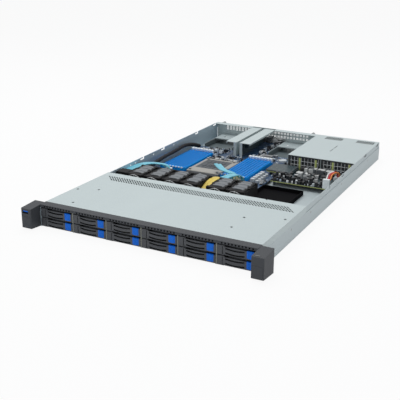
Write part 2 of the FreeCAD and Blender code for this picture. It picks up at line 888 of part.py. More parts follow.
def cpu_socket():
    """Retention frame, the cover over the contacts, the corner posts and the side bar."""
    top = board_top + cpu_frame_height
    outer = block(cpu_left, cpu_right, cpu_front, cpu_back, board_top, top)
    rim = (cpu_left + cpu_rim_side, cpu_right - cpu_rim_side,
           cpu_front + cpu_rim_front, cpu_back - cpu_rim_back)
    frame = outer.makeChamfer(1.5, [e for e in outer.Edges if e.BoundBox.ZMin > top - 0.1])
    frame = without(frame, [block(*rim, board_top - 1, top + 1)])
    cover = block(*rim, board_top, board_top + cpu_cover_height)
    inset = 2 * cpu_post_radius
    posts = [prism(x, y, top, cpu_post_radius, 3.0, (0, 0, 1))
             for x in (cpu_left + inset, cpu_right - inset) for y in (cpu_front + inset, cpu_back - inset)]
    bar_front = cpu_back - cpu_bar_length - cpu_bar_width
    bar = block(cpu_right, cpu_right + cpu_bar_width, bar_front, bar_front + cpu_bar_length,
                board_top, board_top + cpu_frame_height + 1)
    return [frame, cover, bar] + posts


def chokes():
    """Two files of chokes between the right memory bank and the board's edge."""
    solids = []
    for step in range(choke_count):
        y = socket_front + step * choke_pitch
        x = right_bank + bank_width + 9
        solids.append(block(x, x + choke_size, y, y + choke_size, board_top, board_top + choke_height))
        x += choke_size + 3
        solids.append(block(x, x + choke_size - 3, y + 1, y + choke_size - 2, board_top,
                            board_top + choke_height - 3))
    return solids


def board_parts():
    """What stands on the motherboard: regulators, headers, a control chip and the clock's cell."""
    solids = []
    for step in range(regulator_count):
        x = cpu_left + 4 + step * regulator_pitch
        solids.append(block(x, x + regulator_size, cpu_back + regulator_gap,
                            cpu_back + regulator_gap + regulator_size, board_top, board_top + 7))
    places = [(board_left + header_start + step * header_pitch, board_front + header_setback)
              for step in range(header_count)]
    places.append((fan_gap_middle + lead_header_shift, board_front + lead_header_setback))
    for x, y in places:
        solids.append(block(x, x + header_length, y, y + header_depth, board_top, header_top))
    chip_left = right_bank + header_depth
    solids.append(block(chip_left, chip_left + chip_size, riser_front, riser_front + chip_size,
                        board_top, board_top + chip_height))
    solids.append(prism(board_right - chip_size, riser_front + cell_radius, board_top,
                        cell_radius, cell_height, (0, 0, 1), 16))
    return solids


def power_parts():
    """What stands on the power board: a file of capacitors and two files of boxed parts."""
    solids = []
    start = power_left + raised_width - raised_left + 10
    for step in range(capacitor_count):
        x = start + step * capacitor_pitch
        y = power_front + power_length / 5 + 9 * (step % 2)
        solids.append(prism(x, y, power_top, capacitor_radius, capacitor_height, (0, 0, 1)))
    front_row = power_front + 0.5 * power_length
    back_row = power_front + 0.77 * power_length
    for step in range(box_count):
        x = start + step * 2 * capacitor_pitch
        solids.append(block(x, x + box_small, front_row, front_row + box_small,
                            power_top, power_top + choke_height))
        solids.append(block(x, x + box_large, back_row, back_row + box_large,
                            power_top, power_top + capacitor_height))
    return solids


def board_components():
    ports = [rear_port(tongue_left + x, width, high) for x, width, high in rear_ports]
    return chokes() + board_parts() + ports + power_parts()


def power_board():
    """The power distribution board, with the small raised board and its flat plate."""
    underside = power_top - board_thickness
    main = block(power_left, power_right, power_front, power_back, underside, power_top)
    low = power_top + raised_gap
    top = low + board_thickness
    left = power_left - raised_left
    right = left + raised_width
    back = power_back - 3
    front = back - raised_length
    raised = block(left, right, front, back, low, top)
    plate = block(left - 1, right - 2, front + 1, back, top, top + raised_plate)
    rests = [prism(right - 6, y, power_top, 2.5, low - power_top, (0, 0, 1), 6)
             for y in (front + 6, back - 6)]
    rests += [prism(board_right - 16, y, board_top, 2.5, low - board_top, (0, 0, 1), 6)
              for y in (front + 6, back - 6)]
    places = [(x, y) for x in (power_left + 6, power_right - 6)
              for y in (power_front + standoff_inset, power_back - standoff_inset)]
    return [main, raised, plate] + rests + standoffs(places, sheet, underside)


def cable_tray():
    """The open tray on the floor behind and beside the last fan."""
    right = tray_left + tray_width
    top = sheet + tray_height
    outer = block(tray_left, right, tray_front, tray_back, sheet, top)
    inner = block(tray_left + tray_wall, right - tray_wall, tray_front + tray_wall,
                  tray_back - tray_wall, sheet + tray_wall, top + 1)
    return [without(outer, [inner])]


# Risers, trays and the rear panel
def riser_bracket(side, width, way):
    """A folded bracket: top plate, the wall beside the slit, and a leg at that wall's front."""
    outer = side + way * width
    left = min(side, outer)
    right = max(side, outer)
    top = block(left, right, riser_front, riser_back, wall_top - sheet, wall_top)
    wall_left = side if way > 0 else side - sheet
    wall = block(wall_left, wall_left + sheet, riser_front, depth - port_depth - 2, board_top, wall_top)
    leg_left = side if way > 0 else side - riser_leg
    leg = block(leg_left, leg_left + riser_leg, riser_front, riser_front + sheet, board_top, wall_top)
    lip_left = outer - sheet if way > 0 else outer
    lip = block(lip_left, lip_left + sheet, riser_front, riser_back, wall_top - 4, wall_top)
    return joined([top, wall, leg, lip])


def riser_brackets():
    return [riser_bracket(riser_left_side, riser_left_width, -1),
            riser_bracket(riser_right_side, riser_right_width, 1)]


def riser_cards():
    """An upright board against each bracket's wall, with its card connector."""
    low = board_top
    high = wall_top - sheet - 1.5
    front = riser_front + 14
    back = riser_back - 12
    slot_low = (low + high) / 2
    slot_depth = 8.0
    solids = []
    for face, way in ((riser_left_side - sheet, -1), (riser_right_side + sheet, 1)):
        inner = face + way * board_thickness
        outer = inner + way * slot_depth
        solids.append(block(min(face, inner), max(face, inner), front, back, low, high))
        solids.append(block(min(inner, outer), max(inner, outer), front + 14, back - 14,
                            slot_low, slot_low + slot_depth))
    return solids


def ocp_tray(left, width):
    """A low card tray: floor, two rails and the short roof at the rear."""
    right = left + width
    rear = depth - sheet
    floor = block(left, right, ocp_front, rear, sheet, 2 * sheet)
    rails = [block(x, x + sheet, ocp_front, rear, sheet, ocp_height) for x in (left, right - sheet)]
    roof = block(left, right, ocp_plate_front, rear, ocp_height - sheet, ocp_height)
    lip = block(left, right, ocp_plate_front, ocp_plate_front + sheet, ocp_height - 3 * sheet, ocp_height)
    inset = width / 4
    hole = prism(left + inset, ocp_plate_front + inset, ocp_height - sheet - 1,
                 ocp_hole_radius, 4, (0, 0, 1))
    return without(joined([floor] + rails + [roof, lip]), [hole])


def ocp_trays():
    return [ocp_tray(ocp_left, ocp_left_width), ocp_tray(ocp_right, ocp_right_width)]


def rear_port(x, width, high):
    """One rear connector: a shell on the board's edge with its mouth through the panel."""
    top = board_top + high
    shell = block(x, x + width, depth - port_depth, depth, board_top, top)
    mouth = block(x + port_wall, x + width - port_wall, depth - port_depth / 2, depth + 1,
                  board_top + port_wall, top - port_wall)
    return without(shell, [mouth])


def vent_row(left, right, low, high):
    """Upright slots through the rear panel, evenly spaced between two sides."""
    count = int((right - left) / panel_vent_pitch)
    return [block(left + step * panel_vent_pitch, left + step * panel_vent_pitch + panel_vent_width,
                  depth - sheet - 1, depth + 1, low, high) for step in range(count)]


def rear_panel():
    """Rear wall left of the supplies, edge to edge: corner, card frame, ports, card frame.

    The card slots open down to the floor, and each sheet has its part of the folded top flange."""
    inner = depth - sheet
    riser_room = block(riser_left_side - riser_left_width - 1, riser_right_side + riser_right_width + 1,
                       depth - flange_depth - 1, inner - 1, wall_top - 5, height)
    cuts = [riser_room]
    for left, width in ((ocp_left, ocp_left_width), (ocp_right, ocp_right_width)):
        cuts.append(block(left + 2, left + width - 2, inner - 1, depth + 1, 0, ocp_height - sheet))
    cuts += vent_row(ocp_left + 6, riser_left_side - riser_left_width, *left_vents)
    for low, high in right_vents:
        cuts += vent_row(riser_right_side + 5, cage_left - 18, low, high)
    for x, width, high in rear_ports:
        left = tongue_left + x
        cuts.append(block(left - port_gap, left + width + port_gap, inner - 1, depth + 1,
                          board_top - port_gap, board_top + high + port_gap))
    sides = (-upper_inner, ocp_left + panel_joint, tongue_left, ocp_right + panel_joint, cage_left)
    sheets = []
    for left, right in zip(sides, sides[1:]):
        wall = block(left, right, inner, depth, sheet, wall_top)
        flange = block(left, right, depth - flange_depth, depth, wall_top - sheet, wall_top)
        sheets.append(without(joined([wall, flange]), cuts))
    return sheets


# Power supplies
def psu_cage():
    """Walls and roof round the two supplies, with air slots at the roof's rear."""
    left_wall = block(cage_left, cage_left + sheet, cage_front, depth, sheet, wall_top)
    partition = block(partition_left, partition_left + sheet, cage_front, depth, sheet, wall_top)
    top = block(cage_left, upper_inner, cage_front, depth, wall_top - sheet, wall_top)
    cuts = []
    back = depth - 8
    for left in (cage_left + cage_vent_inset, partition_left + cage_vent_inset):
        for step in range(cage_vent_count):
            x = left + step * cage_vent_pitch
            cuts.append(block(x, x + cage_vent_width, back - cage_vent_length, back,
                              wall_top - sheet - 1, wall_top + 1))
    seam = partition_left - 2
    for share in (0.35, 0.5):
        y = cage_front + share * psu_length
        cuts.append(block(seam, seam + 1.6, y, y + cage_vent_length, wall_top - sheet - 1, wall_top + 1))
    return [without(joined([left_wall, partition, top]), cuts)]


def psu_handle():
    """An upright bail standing out of the supply's rear face."""
    x0 = psu_handle_left
    x1 = x0 + psu_handle_bar
    low = sheet + psu_base_play + 4
    high = low + psu_handle_height
    outer = block(x0, x1, psu_back, rear_reach, low, high)
    hole = block(x0 - 1, x1 + 1, psu_back - 1, rear_reach - psu_handle_bar,
                 low + psu_handle_bar, high - psu_handle_bar)
    return without(outer, [hole])


def psu_inlet(case_top):
    """The mains inlet in the supply's rear face: a shell with its core."""
    right = psu_handle_left - 1.5
    high = case_top - 4
    low = high - psu_inlet_height
    front = psu_back - psu_inlet_depth
    pocket = block(psu_inlet_left, right, front, psu_back + 1, low, high)
    shell = block(psu_inlet_left, right, front, psu_back, low, high)
    mouth = block(psu_inlet_left + 2.5, right - 2.5, front + 3, psu_back + 1, low + 3, high - 3)
    core = block(psu_inlet_left + 5, right - 5, front + 2, psu_back - 2, low + 5.5, high - 5.5)
    return pocket, joined([without(shell, [mouth]), core])


def psu():
    """One hot-swap supply at x = 0: case with vented front, inlet, fan opening and handle."""
    low = sheet + psu_base_play
    high = low + psu_height
    case = block(0, psu_width, psu_front, psu_back, low, high)
    cuts = []
    for step in range(6):
        x = 4 + step * psu_width / 6.4
        cuts.append(block(x, x + 8, psu_front - 1, psu_front + 3, high - 5, high - 2))
    cuts.append(block(4, 22, psu_front - 1, psu_front + 8, low + psu_height / 2, high - 7))
    cuts.append(block(30, 62, psu_front - 1, psu_front + 6, low + 4, high - 7))
    fan_x = psu_width - psu_fan_inset
    fan_z = low + psu_height / 2
    opening = prism(fan_x, psu_back - 2, fan_z, psu_fan_radius, 3, (0, 1, 0), 16)
    ring = prism(fan_x, psu_back - 3, fan_z, psu_fan_radius * 0.6, 5, (0, 1, 0), 12)
    eye = prism(fan_x, psu_back - 4, fan_z, psu_fan_radius * 0.45, 7, (0, 1, 0), 12)
    bars = [block(fan_x - psu_fan_radius, fan_x + psu_fan_radius, psu_back - 3, psu_back + 2,
                  fan_z - 0.7, fan_z + 0.7),
            block(fan_x - 0.7, fan_x + 0.7, psu_back - 3, psu_back + 2,
                  fan_z - psu_fan_radius, fan_z + psu_fan_radius)]
    guard = ring.cut(eye).fuse(bars)
    cuts.append(opening.cut(guard))
    pocket, inlet = psu_inlet(high)
    cuts.append(pocket)
    return [without(case, cuts), inlet, psu_handle()]


def psu_latch():
    """The release tab beside the handle; it is pressed sideways."""
    low = sheet + psu_base_play + 1.5
    back = psu_back + 15
    arm = block(2.0, 4.6, psu_back + 0.3, back, low, low + 9)
    pad = block(2.0, 9.0, back - 3, back, low, low + 9)
    return [joined([arm, pad])]


# Cables that the object holds all the way
loom_radius = 4.2
lead_width = 7.0
lead_thickness = 1.6
wire_radius = 1.7
wire_pitch = 4.2
wire_count = 3
plug_top = 32.0
plug_length = 7.0
low_plug_height = 9.0
low_plug_length = 8.0


def loom_route():
    """From the filler block along the left wall to the board's rear corner."""
    wall = -upper_inner
    return [(wall + 14, filler_back, 24), (wall + 14, fan_back, 24), (wall + 20, board_front + 8, 23),
            (wall + 20, socket_front, 30), (wall + 10, socket_front + 95, 26),
            (wall + 9, socket_back + 16, 29), (wall + 17, board_back - 14, board_top + loom_radius)]


def lead_routes():
    """Flat leads: three about the wide gap between the fans, and one at the left wall."""
    gap = fan_gap_middle
    wall = -upper_inner
    header_front = board_front + lead_header_setback
    header_y = header_front + header_depth / 2
    left_header = board_left + header_start + 8
    left_y = board_front + header_setback + header_depth / 2
    first = [(gap - 4, post_back, 26), (gap - 4, post_back + 16, 26), (gap - 3, fan_back + 6, 30),
             (gap + 10, header_front - 14, board_top + 6), (gap + 10, header_front, board_top + 6)]
    second = [(gap + 4, post_back, 24), (gap + 4, post_back + 16, 24), (gap + 5, fan_back + 8, 35),
              (gap + 25, header_y, 34), (gap + 25, header_y, header_top)]
    third = [(gap - 50, header_y + 40, 33), (gap - 26, header_y + 12, 32), (gap - 6, header_y + 4, 32),
             (gap + 11, header_y, header_top + 11), (gap + 11, header_y, header_top)]
    fourth = [(wall + 8, filler_back, 34), (wall + 8, fan_back + 20, 34), (wall + 28, board_front + 10, 35),
              (left_header, left_y, 33), (left_header, left_y, header_top)]
    return [first, second, third, fourth]


def wire_route():
    """From the tall plug at the power board's corner, over and down to the low plug behind."""
    x = power_right - 8
    front = power_front + 8
    return [(x - 6, front, plug_top - 5), (x - 6, front + 10, plug_top - 5),
            (x - 8, front + 26, plug_top + 4), (x, front + 56, plug_top + 1),
            (x, front + 56, power_top + low_plug_height)]


def routed(points):
    """Straight runs joined by tangent arcs, each as large as its two runs allow."""
    nodes = [FreeCAD.Vector(*p) for p in points]
    edges = []
    radii = []
    start = nodes[0]
    for before, corner, after in zip(nodes, nodes[1:], nodes[2:]):
        into = corner - before
        out = after - corner
        reach = 0.45 * min(into.Length, out.Length)
        turn = into.getAngle(out)
        radii.append(reach / math.tan(turn / 2))
        into.normalize()
        out.normalize()
        first = corner - into * reach
        last = corner + out * reach
        bisector = out - into
        bisector.normalize()
        rise = radii[-1] / math.cos(turn / 2) - radii[-1]
        edges.append(Part.LineSegment(start, first).toShape())
        edges.append(Part.Arc(first, corner + bisector * rise, last).toShape())
        start = last
    edges.append(Part.LineSegment(start, nodes[-1]).toShape())
    return Part.Wire(edges), radii


def round_section(start, heading, radius):
    """A six-sided section square to the cable's first run."""
    turn = FreeCAD.Rotation(FreeCAD.Vector(0, 0, 1), heading)
    corners = []
    for step in range(6):
        angle = 2 * math.pi * step / 6
        flat = FreeCAD.Vector(radius * math.cos(angle), radius * math.sin(angle), 0)
        corners.append(start + turn.multVec(flat))
    area = 1.5 * math.sqrt(3) * radius ** 2
    return Part.makePolygon(corners + corners[:1]), area


def flat_section(start, heading, width, thickness):
    """A level strip's section square to the cable's first run."""
    side = heading.cross(FreeCAD.Vector(0, 0, 1))
    side.normalize()
    rise = side.cross(heading)
    rise.normalize()
    half = side * (width / 2)
    up = rise * (thickness / 2)
    corners = [start - half - up, start + half - up, start + half + up, start - half + up]
    return Part.makePolygon(corners + corners[:1]), width * thickness


def cable(points, section, name):
    """A cable along a route, its volume compared with its section times its length."""
    path, radii = routed(points)
    start = FreeCAD.Vector(*points[0])
    heading = FreeCAD.Vector(*points[1]) - start
    outline, area = section(start, heading)
    tube = upright(path.makePipeShell([outline], True, False).Solids[0])
    print(name, round(path.Length, 1), "mm, radii", [round(r, 1) for r in radii],
          "volume ratio", round(tube.Volume / (area * path.Length), 4))
    return tube


def front_panel_cables():
    loom = cable(loom_route(), lambda start, heading: round_section(start, heading, loom_radius), "loom")
    leads = [cable(route, lambda start, heading: flat_section(start, heading, lead_width, lead_thickness),
                   "lead") for route in lead_routes()]
    return [loom] + leads


def power_cables():
    """Wires side by side, with the two plugs that they share on the power board."""
    solids = []
    route = wire_route()
    for step in range(wire_count):
        points = [(x - step * wire_pitch, y, z) for x, y, z in route]
        solids.append(cable(points, lambda start, heading: round_section(start, heading, wire_radius),
                            "wire"))
    span = (wire_count - 1) * wire_pitch + 3
    x, y, z = route[0]
    solids.append(block(x - span, x + 3, y - plug_length, y, power_top, plug_top))
    x, y, z = route[-1]
    solids.append(block(x - span, x + 3, y - low_plug_length / 2, y + low_plug_length / 2, power_top, z))
    return solids


def screws():
    """Cover and wall screws, flush in their recesses, and two thumbscrews at the rear."""
    solids = []
    for x, y in cover_screws():
        solids.append(prism(x, y, height - screw_sink, screw_radius, screw_sink, (0, 0, 1)))
    for share in screw_shares:
        for side, push in ((half_body - screw_sink, 1), (screw_sink - half_body, -1)):
            solids.append(prism(side, share * depth, side_screw_height,
                                screw_radius, screw_sink, (push, 0, 0)))
    for x in (thumb_inset - upper_inner, cage_left - thumb_inset):
        solids.append(prism(x, depth, height - thumb_radius, thumb_radius, thumb_length, (0, 1, 0), 12))
    return solids


# All pieces, by the name of the file that each one goes to
def all_pieces():
    pieces = {
        "chassis_pan": chassis_pan(),
        "front_frame": front_frame(),
        "front_cover": front_cover(),
        "drive_cage": drive_cage(),
        "drive_backplane": drive_backplane(),
        "left_ear": left_ear(),
        "right_ear": right_ear_with_button(),
        "left_ear_flap": mirrored(right_ear_flap()),
        "right_ear_flap": right_ear_flap(),
        "power_button": power_button(),
        "fan_housings": fan_housings(),
        "motherboard": motherboard(),
        "board_components": board_components(),
        "cpu_socket": cpu_socket(),
        "dimm_sockets": dimm_sockets(),
        "dimm_latches": dimm_latches(),
        "power_board": power_board(),
        "cable_tray": cable_tray(),
        "riser_brackets": riser_brackets(),
        "riser_cards": riser_cards(),
        "ocp_trays": ocp_trays(),
        "rear_panel": rear_panel(),
        "psu_cage": psu_cage(),
        "front_panel_cables": front_panel_cables(),
        "power_cables": power_cables(),
        "screws": screws(),
    }
    tray = [carrier_tray(), carrier_drive()]
    lever = [carrier_lever(), lever_catch()]
    for number, (left, low) in enumerate(carrier_places(), 1):
        pieces["drive_carrier_%02d" % number] = moved(tray, left, 0, low)
        pieces["carrier_lever_%02d" % number] = moved(lever, left, 0, low)
    rotor = fan_rotor()
    for number, centre in enumerate(fan_centres, 1):
        pieces["fan_rotor_%d" % number] = moved(rotor, centre, 0, 0)
    supply = psu()
    tab = psu_latch()
    for number, left in enumerate(psu_lefts, 1):
        pieces["psu_%d" % number] = moved(supply, left, 0, 0)
        pieces["psu_latch_%d" % number] = moved(tab, left, 0, 0)
    return pieces


def main():
    os.makedirs("parts", exist_ok=True)
    for node, solids in all_pieces().items():
        placed = moved(solids, 0, origin_shift, 0)
        for solid in placed:
            if not solid.isValid() or solid.Volume <= 0:
                print("unsound solid in", node)
        shape = placed[0] if len(placed) == 1 else Part.makeCompound(placed)
        shape.exportStep("parts/%s.step" % node)
        print(node, len(placed), "solids")


main()
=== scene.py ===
# %% [markdown]
# # A one-unit rack server, dressed for its portrait
# The construction comes ready as a fixed frame: every sheet, board and drive carrier is there
# at its real size. This notebook gives each of them its finish and adds what is too fine or
# too soft for the construction: perforations, screw heads, small parts on the boards and smooth
# leads.

# %% Load the frame
import json
import math
import random

import bpy
from mathutils import Matrix, Vector


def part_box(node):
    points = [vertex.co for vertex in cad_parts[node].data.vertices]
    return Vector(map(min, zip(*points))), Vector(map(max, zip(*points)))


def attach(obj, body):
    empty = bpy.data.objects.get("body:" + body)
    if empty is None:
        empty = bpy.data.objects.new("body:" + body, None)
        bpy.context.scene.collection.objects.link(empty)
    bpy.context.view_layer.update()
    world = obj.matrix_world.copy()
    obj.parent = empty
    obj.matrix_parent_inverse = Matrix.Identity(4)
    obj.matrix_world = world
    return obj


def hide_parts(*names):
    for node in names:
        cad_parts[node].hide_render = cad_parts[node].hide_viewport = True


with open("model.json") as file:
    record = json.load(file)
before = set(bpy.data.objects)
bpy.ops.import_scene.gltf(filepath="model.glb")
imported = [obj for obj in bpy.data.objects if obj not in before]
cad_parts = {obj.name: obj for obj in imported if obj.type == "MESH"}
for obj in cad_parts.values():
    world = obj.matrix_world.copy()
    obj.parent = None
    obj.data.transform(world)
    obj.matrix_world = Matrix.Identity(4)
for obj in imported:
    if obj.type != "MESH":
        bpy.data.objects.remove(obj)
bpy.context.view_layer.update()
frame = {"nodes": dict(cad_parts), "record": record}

MM = 0.001
nodes = frame["nodes"]


# %% [markdown]
# ## Finding places
# Everything that is added sits on something that is already there. The pan's box in the frame
# gives the chassis' front edge. A small function turns millimetres counted from that edge, which
# is how a server is measured, into a point of the scene.

# %% Places on the frame
pan_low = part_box("chassis_pan")[0]
FRONT_REACH = 6.0
FRONT_EDGE = pan_low.y + FRONT_REACH * MM
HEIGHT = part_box("front_cover")[1].z


def at(x, y, z):
    """A point given in millimetres: across, behind the pan's front edge, above the floor."""
    return Vector((x * MM, FRONT_EDGE + y * MM, z * MM))


print("front edge at", round(FRONT_EDGE, 4), "height", round(HEIGHT, 4))


# %% [markdown]
# ## The camera
# The photograph looks down on the server from its front right corner. The viewing angle, the
# distance and the focal length were fitted to the corners of the case, whose real size is known,
# so the camera is placed by those numbers and not by eye.

# %% Camera
AZIMUTH = math.radians(27.480)
ELEVATION = math.radians(19.481)
ROLL = math.radians(0.264)
CAMERA_PLACE = (641.02, -1011.30, 512.02)
FOCAL_LENGTH = 66.916
SENSOR = 36.0
NEAREST, FARTHEST = 0.01, 20
SHIFT = (-0.00493, -0.00388)


def photo_camera():
    forward = Vector((-math.sin(AZIMUTH) * math.cos(ELEVATION),
                      math.cos(AZIMUTH) * math.cos(ELEVATION),
                      -math.sin(ELEVATION)))
    level = forward.cross(Vector((0, 0, 1))).normalized()
    above = level.cross(forward)
    right = level * math.cos(ROLL) + above * math.sin(ROLL)
    up = above * math.cos(ROLL) - level * math.sin(ROLL)
    turn = Matrix((right, up, -forward)).transposed()
    bpy.ops.object.select_all(action="DESELECT")
    bpy.ops.object.camera_add(location=at(*CAMERA_PLACE))
    camera = bpy.context.object
    camera.rotation_euler = turn.to_euler()
    camera.data.lens = FOCAL_LENGTH
    camera.data.sensor_width = SENSOR
    camera.data.shift_x, camera.data.shift_y = SHIFT
    camera.data.clip_start = NEAREST
    camera.data.clip_end = FARTHEST
    bpy.context.scene.camera = camera
    return camera


camera = photo_camera()
print("camera at", [round(v, 3) for v in camera.location])


# %% [markdown]
# ## Light and floor
# A product photograph on white has one large soft light above and a bright surround. The floor
# shows white to the camera and in reflections, but for all other light it is an ordinary pale
# surface, so it keeps the soft shadow under the case and sends no extra light upwards.

# %% Floor and world
bpy.context.scene.view_settings.view_transform = "Standard"
WHITE_SHARE = 0.92
FLOOR_COLOUR = (0.90, 0.905, 0.91, 1)
SKY_COLOUR = (0.93, 0.96, 1.0, 1)
SKY_STRENGTH = 0.42
FLOOR_SIZE = 12
FLOOR_GAP = 0.0004


def see_white_factor(tree):
    """One where a ray comes from the camera, a reflection or a clear material."""
    path = tree.nodes.new("ShaderNodeLightPath")
    first = tree.nodes.new("ShaderNodeMath")
    first.operation = "MAXIMUM"
    tree.links.new(path.outputs["Is Camera Ray"], first.inputs[0])
    tree.links.new(path.outputs["Is Glossy Ray"], first.inputs[1])
    second = tree.nodes.new("ShaderNodeMath")
    second.operation = "MAXIMUM"
    tree.links.new(first.outputs[0], second.inputs[0])
    tree.links.new(path.outputs["Is Transmission Ray"], second.inputs[1])
    return second.outputs[0]


def floor_material():
    material = bpy.data.materials.new("studio_floor")
    material.use_nodes = True
    tree = material.node_tree
    tree.nodes.clear()
    out = tree.nodes.new("ShaderNodeOutputMaterial")
    plain = tree.nodes.new("ShaderNodeBsdfDiffuse")
    plain.inputs["Color"].default_value = FLOOR_COLOUR
    white = tree.nodes.new("ShaderNodeEmission")
    share = tree.nodes.new("ShaderNodeMath")
    share.operation = "MULTIPLY"
    share.inputs[1].default_value = WHITE_SHARE
    tree.links.new(see_white_factor(tree), share.inputs[0])
    mix = tree.nodes.new("ShaderNodeMixShader")
    tree.links.new(share.outputs[0], mix.inputs[0])
    tree.links.new(plain.outputs[0], mix.inputs[1])
    tree.links.new(white.outputs[0], mix.inputs[2])
    tree.links.new(mix.outputs[0], out.inputs[0])
    return material


def studio_world(strength):
    world = bpy.data.worlds.new("studio")
    bpy.context.scene.world = world
    world.use_nodes = True
    tree = world.node_tree
    tree.nodes.clear()
    out = tree.nodes.new("ShaderNodeOutputWorld")
    soft = tree.nodes.new("ShaderNodeBackground")
    soft.inputs["Color"].default_value = SKY_COLOUR
    soft.inputs["Strength"].default_value = strength
    white = tree.nodes.new("ShaderNodeBackground")
    mix = tree.nodes.new("ShaderNodeMixShader")
    tree.links.new(see_white_factor(tree), mix.inputs[0])
    tree.links.new(soft.outputs[0], mix.inputs[1])
    tree.links.new(white.outputs[0], mix.inputs[2])
    tree.links.new(mix.outputs[0], out.inputs[0])


def floor_plane():
    bpy.ops.object.select_all(action="DESELECT")
    bpy.ops.mesh.primitive_plane_add(size=FLOOR_SIZE, location=(0, 0, pan_low.z - FLOOR_GAP))
    floor = bpy.context.object
    floor.name = "studio_floor"
    floor.data.materials.append(floor_material())
    return floor


studio_world(SKY_STRENGTH)
floor = floor_plane()
print("floor", floor.name)


# %% Lamps
def soft_lamp(name, place, size, power, aim=(0, 0, 0)):
    bpy.ops.object.select_all(action="DESELECT")
    bpy.ops.object.light_add(type="AREA", location=place)
    lamp = bpy.context.object
    lamp.name = name
    lamp.data.size = size
    lamp.data.energy = power
    direction = Vector(aim) - Vector(place)
    lamp.rotation_euler = direction.to_track_quat("-Z", "Y").to_euler()
    return lamp


soft_lamp("top_light", (-0.5, 0.4, 2.0), 1.6, 24)
soft_lamp("front_light", (-0.3, -2.4, 1.0), 1.2, 6.5)
soft_lamp("right_light", (2.2, -0.4, 0.9), 1.4, 2.5)
print("three soft lamps")


# %% [markdown]
# ## Finishes
# Real sheet metal, moulded plastic and solder mask all vary a little: in colour over a few
# centimetres, in roughness, and in a fine grain that only shows where light glances off. One
# function builds such a surface from layered noise on the object's own coordinates. Constant
# values are set on the shader's own sockets.

# %% A finish with grain
ROUGHNESS_SPREAD = 0.12
BUMP_DEPTH = 0.0004


def grained(name, colour, roughness, metallic=0.0, drift=0.06, drift_scale=25.0,
            grain=0.05, grain_scale=900.0, bump=0.03, stretch=(1, 1, 1), gloss=0.5):
    material = bpy.data.materials.new(name)
    material.use_nodes = True
    tree = material.node_tree
    shader = tree.nodes["Principled BSDF"]
    shader.inputs["Metallic"].default_value = metallic
    shader.inputs["Specular IOR Level"].default_value = gloss
    place = tree.nodes.new("ShaderNodeTexCoord")
    mapping = tree.nodes.new("ShaderNodeMapping")
    mapping.inputs["Scale"].default_value = stretch
    tree.links.new(place.outputs["Object"], mapping.inputs["Vector"])
    broad = tree.nodes.new("ShaderNodeTexNoise")
    broad.inputs["Scale"].default_value = drift_scale
    broad.inputs["Detail"].default_value = 3
    tree.links.new(mapping.outputs[0], broad.inputs["Vector"])
    fine = tree.nodes.new("ShaderNodeTexNoise")
    fine.inputs["Scale"].default_value = grain_scale
    fine.inputs["Detail"].default_value = 2
    tree.links.new(mapping.outputs[0], fine.inputs["Vector"])
    tone = tree.nodes.new("ShaderNodeMath")
    tone.operation = "MULTIPLY_ADD"
    tone.inputs[1].default_value = drift
    tone.inputs[2].default_value = 1.0 - drift / 2
    tree.links.new(broad.outputs["Fac"], tone.inputs[0])
    speck = tree.nodes.new("ShaderNodeMath")
    speck.operation = "MULTIPLY_ADD"
    speck.inputs[1].default_value = grain
    tree.links.new(fine.outputs["Fac"], speck.inputs[0])
    tree.links.new(tone.outputs[0], speck.inputs[2])
    scale = tree.nodes.new("ShaderNodeVectorMath")
    scale.operation = "SCALE"
    scale.inputs[0].default_value = colour
    tree.links.new(speck.outputs[0], scale.inputs["Scale"])
    tree.links.new(scale.outputs["Vector"], shader.inputs["Base Color"])
    dull = tree.nodes.new("ShaderNodeMath")
    dull.operation = "MULTIPLY_ADD"
    dull.inputs[1].default_value = ROUGHNESS_SPREAD
    dull.inputs[2].default_value = roughness - ROUGHNESS_SPREAD / 2
    tree.links.new(fine.outputs["Fac"], dull.inputs[0])
    tree.links.new(dull.outputs[0], shader.inputs["Roughness"])
    raised = tree.nodes.new("ShaderNodeBump")
    raised.inputs["Strength"].default_value = bump
    raised.inputs["Distance"].default_value = BUMP_DEPTH
    tree.links.new(fine.outputs["Fac"], raised.inputs["Height"])
    tree.links.new(raised.outputs[0], shader.inputs["Normal"])
    return material


def colour_by_place(material, axis, places, colour):
    """Another colour between two places along an axis, in millimetres. On the carriers and the trays it
    is painted shade, on the left wall's inner face painted light, and on the chokes their own paler
    colour.
    """
    tree = material.node_tree
    shader = tree.nodes["Principled BSDF"]
    under = shader.inputs["Base Color"].links[0].from_socket
    split = tree.nodes.new("ShaderNodeSeparateXYZ")
    place = tree.nodes.new("ShaderNodeTexCoord")
    tree.links.new(place.outputs["Object"], split.inputs[0])
    low = tree.nodes.new("ShaderNodeMath")
    low.operation = "GREATER_THAN"
    low.inputs[1].default_value = at(*[places[0]] * 3)[axis]
    tree.links.new(split.outputs[axis], low.inputs[0])
    high = tree.nodes.new("ShaderNodeMath")
    high.operation = "LESS_THAN"
    high.inputs[1].default_value = at(*[places[1]] * 3)[axis]
    tree.links.new(split.outputs[axis], high.inputs[0])
    both = tree.nodes.new("ShaderNodeMath")
    both.operation = "MULTIPLY"
    tree.links.new(low.outputs[0], both.inputs[0])
    tree.links.new(high.outputs[0], both.inputs[1])
    mix = tree.nodes.new("ShaderNodeMix")
    mix.data_type = "RGBA"
    mix.inputs["B"].default_value = (*colour, 1)
    tree.links.new(both.outputs[0], mix.inputs["Factor"])
    tree.links.new(under, mix.inputs["A"])
    tree.links.new(mix.outputs["Result"], shader.inputs["Base Color"])
    return material


TRACE_WIDTH = 0.055
PAD_SIZE = 0.16
PAD_SCALE = 1.6


